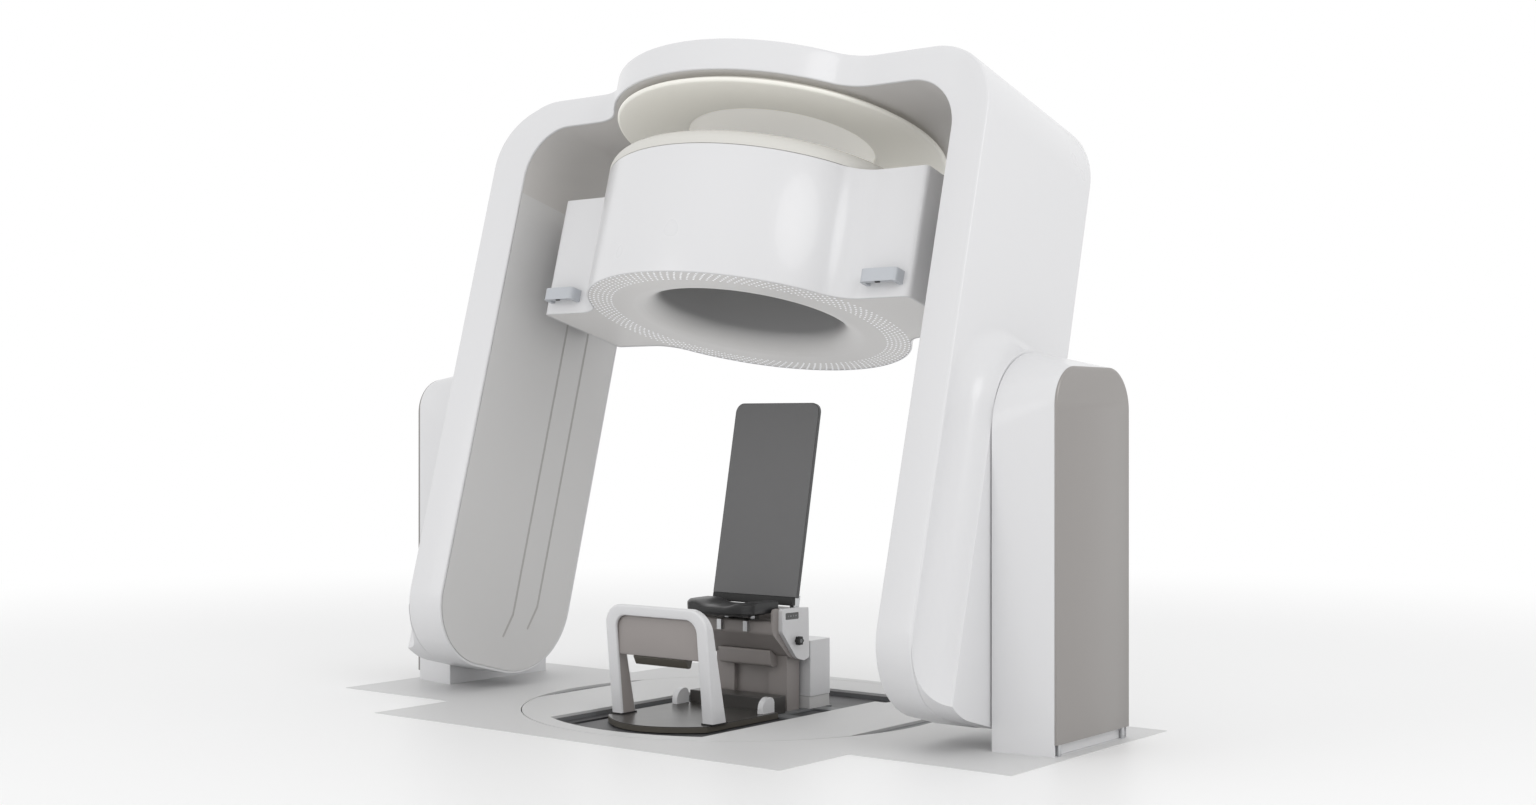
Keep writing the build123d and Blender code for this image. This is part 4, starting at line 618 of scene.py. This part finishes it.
def ring_scanner():
    levels = [(RING_LOW + 0.012, 0.008), (RING_LOW + 0.001, 0.008), (RING_LOW, 0.007)]
    levels += [(RING_LOW + a, b) for b, a in reversed(quarter(0.006))]
    levels += [(SIDE_TOP - 0.004, 0), (SIDE_TOP - 0.0012, 0.001), (SIDE_TOP, 0.004),
               (SIDE_TOP, 0.008), (SIDE_TOP - 0.008, 0.008)]
    shell = skin("ring_drum", "ring", WHITE, [ring_level(*level) for level in levels],
                 wrap=True, place=LEANED)
    roof = slab("ring_roof", "ring", WHITE, ring_outline(0.007), [circle(0.440, 96, (0, RING_S))],
                "z", SIDE_TOP - 0.007, SIDE_TOP - 0.0004, place=LEANED)
    for piece in (shell, roof):
        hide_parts("ring_shell")

    plate = slab("ring_underside", "ring", UNDERSIDE, ring_outline(0.0095),
                 [circle(LIP, 192, (0, RING_S))], "z", COVER_BASE, COVER_BASE + 0.006,
                 place=LEANED)
    mouth = turned("bell_mouth", "ring", BORE_PAINTED_SHADE, thick(bell_points(90, 67.5, 10), 0.004),
                   (0, RING_S), place=LEANED)
    lights = bmesh.new()
    for row in range(6):
        radius = 0.640 + 0.0200 * row
        size = 0.0044 + 0.00012 * row
        for k in range(DOT_COUNT):
            angle = 2 * math.pi * (k + 0.35 * row) / DOT_COUNT
            centre = Vector((radius * math.cos(angle), RING_S + radius * math.sin(angle),
                             COVER_BASE - 0.0006))
            verts = [lights.verts.new(centre + Vector((size * math.cos(math.pi * j / 5),
                                                       size * math.sin(math.pi * j / 5), 0)))
                     for j in range(10)]
            low = bmesh.ops.extrude_face_region(lights, geom=[lights.faces.new(verts)])
            for item in low["geom"]:
                if isinstance(item, bmesh.types.BMVert):
                    item.co.z += 0.002
    dots = finish_mesh("light_dots", lights, "ring", DOTS, place=LEANED)
    for piece in (plate, mouth, dots):
        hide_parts("ring_bottom_cover")

    inside = bell_points(67.5, 0, 20) + [(THROAT, RING_HIGH - 0.010)]
    bore = turned("bore", "ring", BORE_PAINTED_SHADE, inside + [(r + 0.006, t) for r, t in reversed(inside)],
                  (0, RING_S), place=LEANED)
    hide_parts("bore_liner")

    inner = THROAT + 0.007
    profile = [(RING_RADIUS - 0.010, SIDE_TOP + 0.0012), (RING_RADIUS - 0.001, SIDE_TOP + 0.0012),
               (RING_RADIUS, SIDE_TOP + 0.0022)]
    for k in range(13):
        angle = math.pi / 2 * k / 12
        profile.append((RING_RADIUS - SHOULDER * (1 - math.cos(angle)),
                        RING_HIGH - SHOULDER * (1 - math.sin(angle))))
    for k in range(9):
        angle = math.pi / 2 * k / 8
        profile.append((inner + INNER_SHOULDER * (1 - math.sin(angle)),
                        RING_HIGH - INNER_SHOULDER * (1 - math.cos(angle))))
    profile += [(inner, SIDE_TOP + 0.002), (inner + 0.010, SIDE_TOP + 0.002)]
    top = turned("ring_crown", "ring", IVORY, profile, (0, RING_S), place=LEANED)
    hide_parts("ring_top_cover")

    for side, sign in (("right", 1), ("left", -1)):
        hollow = BAR_FRONT + BAR_WIDTH
        outline = [(BAR_IN, BAR_REAR), (BAR_IN, BAR_FRONT), (BAR_OUT, BAR_FRONT), (BAR_OUT, BAR_REAR),
                   (BAR_OUT - BAR_WIDTH, BAR_REAR), (BAR_OUT - BAR_WIDTH, hollow),
                   (BAR_IN + BAR_WIDTH, hollow), (BAR_IN + BAR_WIDTH, BAR_REAR)]
        outline = rounded(outline, [0, 0.022, 0.022, 0, 0, 0.010, 0.010, 0], 8)
        outline = outline if sign > 0 else mirrored(outline)
        bar = slab(f"grab_bar_{side}", "ring", BAR, outline, [], "z", 0.542, 0.600, 0.006, 4,
                   place=LEANED)
        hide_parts("grab_bars")
        x = sum(corner.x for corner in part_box(f"grab_button_{side}")) / 2
        outline = rounded([(x - 0.013, -0.372), (x + 0.013, -0.372), (x + 0.013, -0.362),
                           (x - 0.013, -0.362)], [0.0045] * 4, 6)
        button = slab(f"push_button_{side}", f"button_{side}", RUBBER, outline, [], "z", 0.538, 0.549,
                      0.0012, place=LEANED)
        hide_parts(f"grab_button_{side}")


# ---------------------------------------------------------------- chair
FOOT_HALF, FOOT_FRONT, FOOT_REAR = 0.282, -0.700, -0.060
FOOT_SWEEP = 0.145                 # how far the footplate's front corners lie behind its middle
GUARD_FRONT, GUARD_REAR, GUARD_TOP = -0.146, -0.062, 0.070
SHIN_OUTER = (0.290, 0.490, 0.092)  # half width, top and corner of the shin rest's arch
SHIN_INNER = (0.230, 0.443, 0.058)
SHIN_FOOT, SHIN_HEIGHT = 0.005, 0.486
PAD_LOW, PAD_HIGH, PAD_HALF = 0.269, 0.4422, 0.2292
LIP_TOP = 0.268                    # the lip hangs below the pad
SIDE_IN, SIDE_OUT = 0.2182, 0.250  # side covers, from the middle of the chair
KNOB_PLACE = (0.123, 0.300)
KNOB_RADIUS, KNOB_LOBE = 0.0188, 0.0022
SEAT_FRONT, SEAT_DEPTH = -0.172, 0.212
SEAT_HALF, SEAT_GROWTH = 0.194, 0.012
SEAT_LEVEL = 0.463                 # middle of the saddle
PANEL_HALF = 0.245
BOX_HALF, BOX_FRONT, BOX_REAR = 0.250, 0.222, 0.386


def foot_outline(inset):
    half = FOOT_HALF - inset
    out = [(half, FOOT_REAR)]
    for k in range(33):
        share = 1 - 2 * k / 32
        x = half * share
        out.append((x, FOOT_FRONT + inset + FOOT_SWEEP * share ** 2))
    return out + [(-half, FOOT_REAR)]


def footplate():
    body = slab("footplate_body", "chair", OLIVE, foot_outline(0), [], "z", -0.026, -0.0035, 0.002)
    glass = slab("footplate_top", "chair", SMOKED, foot_outline(0.0015), [], "z", -0.0035, 0, 0.0012)
    for piece in (body, glass):
        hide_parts("footplate")
    heel = slab("heel_block", "chair", SMOKED, [(-0.058, -0.021), (0.060, -0.021), (0.060, 0.058),
                                               (-0.058, 0.058)], [], "x", -0.232, 0.232, 0.004)
    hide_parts("heel_stops")
    outline = rounded([(GUARD_FRONT, 0.0005), (GUARD_REAR, 0.0005), (GUARD_REAR, GUARD_TOP),
                       (GUARD_FRONT, GUARD_TOP)], [0, 0, 0.030, 0.052], 14)
    for side, sign in (("right", 1), ("left", -1)):
        low, high = sorted((sign * 0.233, sign * 0.262))
        guard = slab(f"heel_guard_{side}", "chair", WHITE, outline, [], "x", low, high, 0.004)
        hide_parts("heel_stops")


def shin_path():
    """Outer and inner (x, z) points up one leg of the shin rest, across and down."""
    def half(width, top, corner):
        out = [(width, 0.0055), (width, 0.2), (width, 0.36)]
        for k in range(17):
            angle = math.pi / 2 * k / 16
            out.append((width - corner * (1 - math.cos(angle)), top - corner * (1 - math.sin(angle))))
        return out
    pairs = list(zip(half(*SHIN_OUTER), half(*SHIN_INNER)))
    return pairs + [((-o[0], o[1]), (-i[0], i[1])) for o, i in reversed(pairs)]


def shin_front(z):
    return -0.524 - 0.050 * (z - SHIN_FOOT) / SHIN_HEIGHT


def shin_rear(z):
    return -0.429 - 0.105 * (z - SHIN_FOOT) / SHIN_HEIGHT


def shin_section(outer, inner, marks, rear=shin_rear):
    depth = math.dist(outer, inner)
    loop = []
    for side, line in ((1, shin_front), (-1, rear)):
        half = []
        for share, across, inset in marks:
            f = share + across / depth
            x = outer[0] + (inner[0] - outer[0]) * f
            z = outer[1] + (inner[1] - outer[1]) * f
            half.append((x, line(z) + side * inset, z))
        loop += half if side == 1 else list(reversed(half))
    return loop


def shin_rest():
    path = shin_path()
    marks = [(0, a, b) for a, b in quarter(0.011, 5)] + [(0.5, 0, 0)]
    marks += [(1, -a, b) for a, b in reversed(quarter(0.007, 4))]
    frame_piece = skin("shin_arch", "shin_rest", WHITE, [shin_section(o, i, marks) for o, i in path])
    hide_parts("shin_frame")
    marks = [(1, 0.0008, 0.012), (1, -0.001, 0.012)]
    lining = skin("shin_lining", "shin_rest", TAUPE,
                  [shin_section(o, i, marks, rear=lambda z: shin_rear(z) + 0.004) for o, i in path])
    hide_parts("shin_frame")
    for side, sign in (("right", 1), ("left", -1)):
        low, high = sorted((sign * 0.226, sign * 0.294))
        outline = [(low, -0.530), (high, -0.530), (high, -0.422), (low, -0.422)]
        sole = slab(f"shin_sole_{side}", "shin_rest", RUBBER, rounded(outline, [0.008] * 4, 5), [], "z",
                    0.0004, 0.0055, 0.0012)
        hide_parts("shin_frame")
    # the pad fills the upper part of the arch, a little behind its front face
    outline = rounded([(-PAD_HALF, PAD_LOW), (PAD_HALF, PAD_LOW),
                       (PAD_HALF, PAD_HIGH), (-PAD_HALF, PAD_HIGH)],
                      [0.010, 0.010, 0.0575, 0.0575], 12)
    middle, reach = (PAD_LOW + PAD_HIGH) / 2, (PAD_HIGH - PAD_LOW) / 2

    def layer(setback, inset):
        return [(x * (1 - inset / SHIN_INNER[0]), -0.540 - 0.0555 * (z - LIP_TOP) + setback,
                 middle + (z - middle) * (1 - inset / reach)) for x, z in outline]

    pad = skin("shin_cushion", "shin_rest", TAUPE,
               [layer(0.0005, 0.004), layer(0.0012, 0.0015), layer(0.003, 0), layer(0.022, 0),
                layer(0.0235, 0.002)])
    lip = slab("shin_lip", "shin_rest", OLIVE,
               rounded([(-0.538, LIP_TOP), (-0.490, LIP_TOP), (-0.502, 0.232), (-0.518, 0.228)],
                       [0.003, 0.003, 0.006, 0.006], 4), [], "x", -0.150, 0.150, 0.002)
    for piece in (pad, lip):
        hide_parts("shin_pad")


def chair_body():
    outline = rounded([(-0.022, 0.394), (0.058, 0.394), (0.070, 0.440), (0.205, 0.440), (0.207, 0.222),
                       (0.176, 0.212), (0.097, 0.228), (-0.022, 0.338)],
                      [0.012, 0.010, 0.010, 0.006, 0.006, 0.020, 0.066, 0.030], 10)
    beam = slab("beam", "chair_body", TAUPE, outline, [], "x", -0.2178, 0.2178, 0.002)
    tray = slab("beam_tray", "chair_body", TAUPE,
                rounded([(0.048, 0.262), (0.092, 0.229), (0.102, 0.226), (0.102, 0.178), (0.060, 0.178)],
                        [0.006, 0.002, 0.002, 0.004, 0.016], 6), [], "x", -0.150, 0.150, 0.003)
    for piece in (beam, tray):
        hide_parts("seat_beam")
    end = rounded([(-0.030, 0.452), (0.207, 0.443), (0.212, 0.218), (0.174, 0.207), (0.093, 0.224),
                   (-0.030, 0.338)], [0.022, 0.008, 0.008, 0.024, 0.070, 0.034], 12)
    outline = rounded([(0.012, 0.452), (0.208, 0.444), (0.213, 0.217), (0.174, 0.206), (0.120, 0.219),
                       (0.012, 0.345)], [0.016, 0.008, 0.008, 0.024, 0.070, 0.034], 12)
    for side, sign in (("right", 1), ("left", -1)):
        low, high = sorted((sign * 0.2172, sign * 0.228))
        plate = slab(f"beam_end_{side}", "chair_body", TAUPE, end, [], "x", low, high, 0.003, 4)
        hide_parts("seat_beam")
        low, high = sorted((sign * SIDE_IN, sign * SIDE_OUT))
        cover = slab(f"side_cover_{side}", "chair_body", WHITE, outline, [], "x", low, high, 0.006, 4)
        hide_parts("side_covers")
        low, high = sorted((sign * 0.2495, sign * 0.2504))
        glass = slab(f"status_glass_{side}", "chair_body", GLASS,
                     rounded([(0.036, 0.400), (0.132, 0.398), (0.132, 0.428), (0.036, 0.430)],
                             [0.005] * 4, 6), [], "x", low, high)
        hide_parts("displays")
        low, high = sorted((sign * 0.2504, sign * 0.2507))
        for k, (y, width) in enumerate(((0.056, 0.006), (0.074, 0.012), (0.094, 0.006), (0.112, 0.008))):
            mark = slab(f"status_mark_{k}_{side}", "chair_body", ICON,
                        rounded([(y - width / 2, 0.411), (y + width / 2, 0.411), (y + width / 2, 0.417),
                                 (y - width / 2, 0.417)], [0.0028] * 4, 4), [], "x", low, high)
            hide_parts("displays")
        lobes = []
        for k in range(96):
            angle = 2 * math.pi * k / 96
            r = KNOB_RADIUS + KNOB_LOBE * math.cos(6 * angle)
            lobes.append((KNOB_PLACE[0] + r * math.cos(angle), KNOB_PLACE[1] + r * math.sin(angle)))
        low, high = sorted((sign * 0.2508, sign * 0.272))
        knob = slab(f"knob_{side}", f"knob_{side}", RUBBER, lobes, [], "x", low, high, 0.0025)
        low, high = sorted((sign * 0.2715, sign * 0.2732))
        cap = slab(f"knob_cap_{side}", f"knob_{side}", PAINT, circle(0.009, 32, KNOB_PLACE), [],
                   "x", low, high, 0.0007)
        for piece in (knob, cap):
            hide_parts(f"lock_knob_{side}")


def seat():
    def height(u, v):
        """Saddle: raised wings at the sides, a soft roll at the front."""
        side = min(1.0, max(0.0, (abs(u) - 0.25) / 0.50))
        wing = 0.020 * side * side * (3 - 2 * side)
        roll = -0.007 * max(0.0, (0.15 - v) / 0.15) ** 2
        return SEAT_LEVEL + wing + roll
    cols, rows = 40, 24
    def spot(i, j, lift, inset):
        u = -1 + 2 * i / cols
        v = j / rows
        half = SEAT_HALF + SEAT_GROWTH * v - inset
        y = SEAT_FRONT + inset + (SEAT_DEPTH - 2 * inset) * v
        pull = 0.018 * abs(u) ** 6 * (1 - v) ** 2 * 3
        return (u * half, y + pull, lift(u, v))
    mesh = bmesh.new()
    layers = []
    for lift, inset in ((height, 0.005), (lambda u, v: height(u, v) - 0.004, 0.0008),
                        (lambda u, v: height(u, v) - 0.010, 0), (lambda u, v: 0.434, 0.001),
                        (lambda u, v: 0.4305, 0.005)):
        layers.append([[mesh.verts.new(spot(i, j, lift, inset)) for j in range(rows + 1)]
                       for i in range(cols + 1)])
    for grid in (layers[0], layers[-1]):
        for i in range(cols):
            for j in range(rows):
                mesh.faces.new((grid[i][j], grid[i + 1][j], grid[i + 1][j + 1], grid[i][j + 1]))
    edge = [(i, 0) for i in range(cols)] + [(cols, j) for j in range(rows)]
    edge += [(i, rows) for i in range(cols, 0, -1)] + [(0, j) for j in range(rows, 0, -1)]
    for upper, lower in zip(layers, layers[1:]):
        for (a, b), (c, d) in zip(edge, edge[1:] + edge[:1]):
            mesh.faces.new((upper[a][b], upper[c][d], lower[c][d], lower[a][b]))
    for grid in layers[1:-1]:
        for i in range(1, cols):
            for j in range(1, rows):
                mesh.verts.remove(grid[i][j])
    saddle = finish_mesh("saddle", mesh, "seat", BLACK, place=RAISED)
    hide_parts("seat_pan")


def back_panel():
    foot, head = Vector((0, 0.126, FLOOR + 0.491)), Vector((0, 0.304, FLOOR + 1.375))
    length = (head - foot).length
    lean = math.atan2(head.y - foot.y, head.z - foot.z)
    tilted = Matrix.Translation(foot) @ Matrix.Rotation(-lean, 4, "X")
    outline = rounded([(-PANEL_HALF, 0), (PANEL_HALF, 0), (PANEL_HALF, length), (-PANEL_HALF, length)],
                      [0.006, 0.006, 0.045, 0.045], 14)
    board = slab("back_board", "back", PANEL_EDGE, outline, [], "y", 0.0012, 0.016, 0.003, place=tilted)
    face = [(x * 0.985, 0.0035 + z * (length - 0.007) / length) for x, z in outline]
    sheet = slab("back_face", "back", PANEL, face, [], "y", 0.0002, 0.0025, 0.0006, place=tilted)
    sill = slab("back_sill", "back", RUBBER, rounded([(0.104, 0.456), (0.130, 0.456), (0.132, 0.494),
                                                      (0.112, 0.494)], [0.004] * 4, 4), [], "x",
                -0.232, 0.232, 0.002)
    for piece in (board, sheet, sill):
        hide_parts("back_panel")


def rear_box():
    outline = rounded([(-BOX_HALF, BOX_FRONT), (BOX_HALF, BOX_FRONT),
                       (BOX_HALF, BOX_REAR), (-BOX_HALF, BOX_REAR)],
                      [0.004, 0.004, 0.020, 0.020], 10)
    box = slab("rear_housing", "chair", WHITE, outline, [], "z", 0.036, 0.290, 0.006, 4)
    outline = [(x * 0.988, y - 0.001) for x, y in outline]
    plinth = slab("rear_plinth", "chair", LINER, outline, [], "z", -0.0205, 0.034, 0.002)
    for piece in (box, plinth):
        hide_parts("rear_box")


legs()
canopy()
fairings()
ceiling_light()
pedestals()
ring_scanner()
footplate()
shin_rest()
chair_body()
seat()
back_panel()
rear_box()


# ---------------------------------------------------------------- studio and camera
def studio():
    half = 30
    outline = [(-half, -half), (half, -half), (half, half), (-half, half)]
    # the hole follows the cross-shaped floor plate, a little inside its edge
    low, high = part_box("floor_plate")
    edge = 0.004
    nose = 1.129 - edge
    arm = high.x - edge
    front, rear = low.y + edge, high.y - edge
    arm_front, arm_rear = -0.716, 0.546
    hole = [(-arm, arm_front), (-nose, arm_front), (-nose, front), (nose, front), (nose, arm_front),
            (arm, arm_front), (arm, arm_rear), (nose, arm_rear), (nose, rear), (-nose, rear),
            (-nose, arm_rear), (-arm, arm_rear)]
    paint = vary(shader("studio_floor", (0.84, 0.84, 0.84), 0.45), 0.8, 0.002, 0.43, 0.47)
    link = paint.node_tree.links.new
    place = add(paint, "ShaderNodeTexCoord")
    reach = add(paint, "ShaderNodeVectorMath", operation="LENGTH")
    link(place.outputs["Object"], reach.inputs[0])
    fade = add(paint, "ShaderNodeMapRange", interpolation_type="SMOOTHSTEP")
    fade.inputs["From Min"].default_value = 3.5
    fade.inputs["From Max"].default_value = 9.0
    link(reach.outputs["Value"], fade.inputs["Value"])
    glow = add(paint, "ShaderNodeEmission", Strength=1.0)
    blend = add(paint, "ShaderNodeMixShader")
    link(fade.outputs["Result"], blend.inputs[0])
    link(paint.node_tree.nodes["Principled BSDF"].outputs[0], blend.inputs[1])
    link(glow.outputs[0], blend.inputs[2])
    link(blend.outputs[0], paint.node_tree.nodes["Material Output"].inputs["Surface"])
    mesh = bmesh.new()
    loops = [outline, hole]
    verts = [mesh.verts.new((u, v, FLOOR - 0.002)) for loop in loops for u, v in loop]
    for triangle in tessellate_polygon([[Vector((u, v, 0)) for u, v in loop] for loop in loops]):
        mesh.faces.new([verts[i] for i in triangle])
    for face in mesh.faces:
        if face.normal.z < 0:
            face.normal_flip()
    data = bpy.data.meshes.new("studio_floor")
    mesh.to_mesh(data)
    mesh.free()
    data.materials.append(paint)
    ground = bpy.data.objects.new("studio_floor", data)
    bpy.context.scene.collection.objects.link(ground)

    world = bpy.data.worlds.new("studio")
    world.use_nodes = True
    world.node_tree.nodes["Background"].inputs["Color"].default_value = (1.0, 1.0, 1.0, 1)
    world.node_tree.nodes["Background"].inputs["Strength"].default_value = 1.0
    bpy.context.scene.world = world

    def lamp(name, place, target, size, power):
        light = bpy.data.lights.new(name, "AREA")
        light.shape = "DISK"
        light.size = size
        light.energy = power
        holder = bpy.data.objects.new(name, light)
        holder.location = place
        holder.rotation_euler = (Vector(target) - Vector(place)).to_track_quat("-Z", "Y").to_euler()
        bpy.context.scene.collection.objects.link(holder)

    lamp("key", (7.0, -3.0, 6.0), (0.5, 0, 1.2), 4.0, 110)
    lamp("fill", (-2.5, -7.0, 3.0), (0, 0, 1.2), 4.0, 40)


def camera():
    bearing = math.radians(37.855)
    data = bpy.data.cameras.new("camera")
    data.sensor_width = 36
    data.lens = 43.85
    data.shift_y = 0.0143
    holder = bpy.data.objects.new("camera", data)
    holder.location = (5.3265, -6.6243, FLOOR + 1.275)
    holder.rotation_euler = (math.pi / 2, 0, bearing)
    bpy.context.scene.collection.objects.link(holder)
    bpy.context.scene.camera = holder


studio()
camera()
bpy.context.scene.view_settings.view_transform = "Standard"
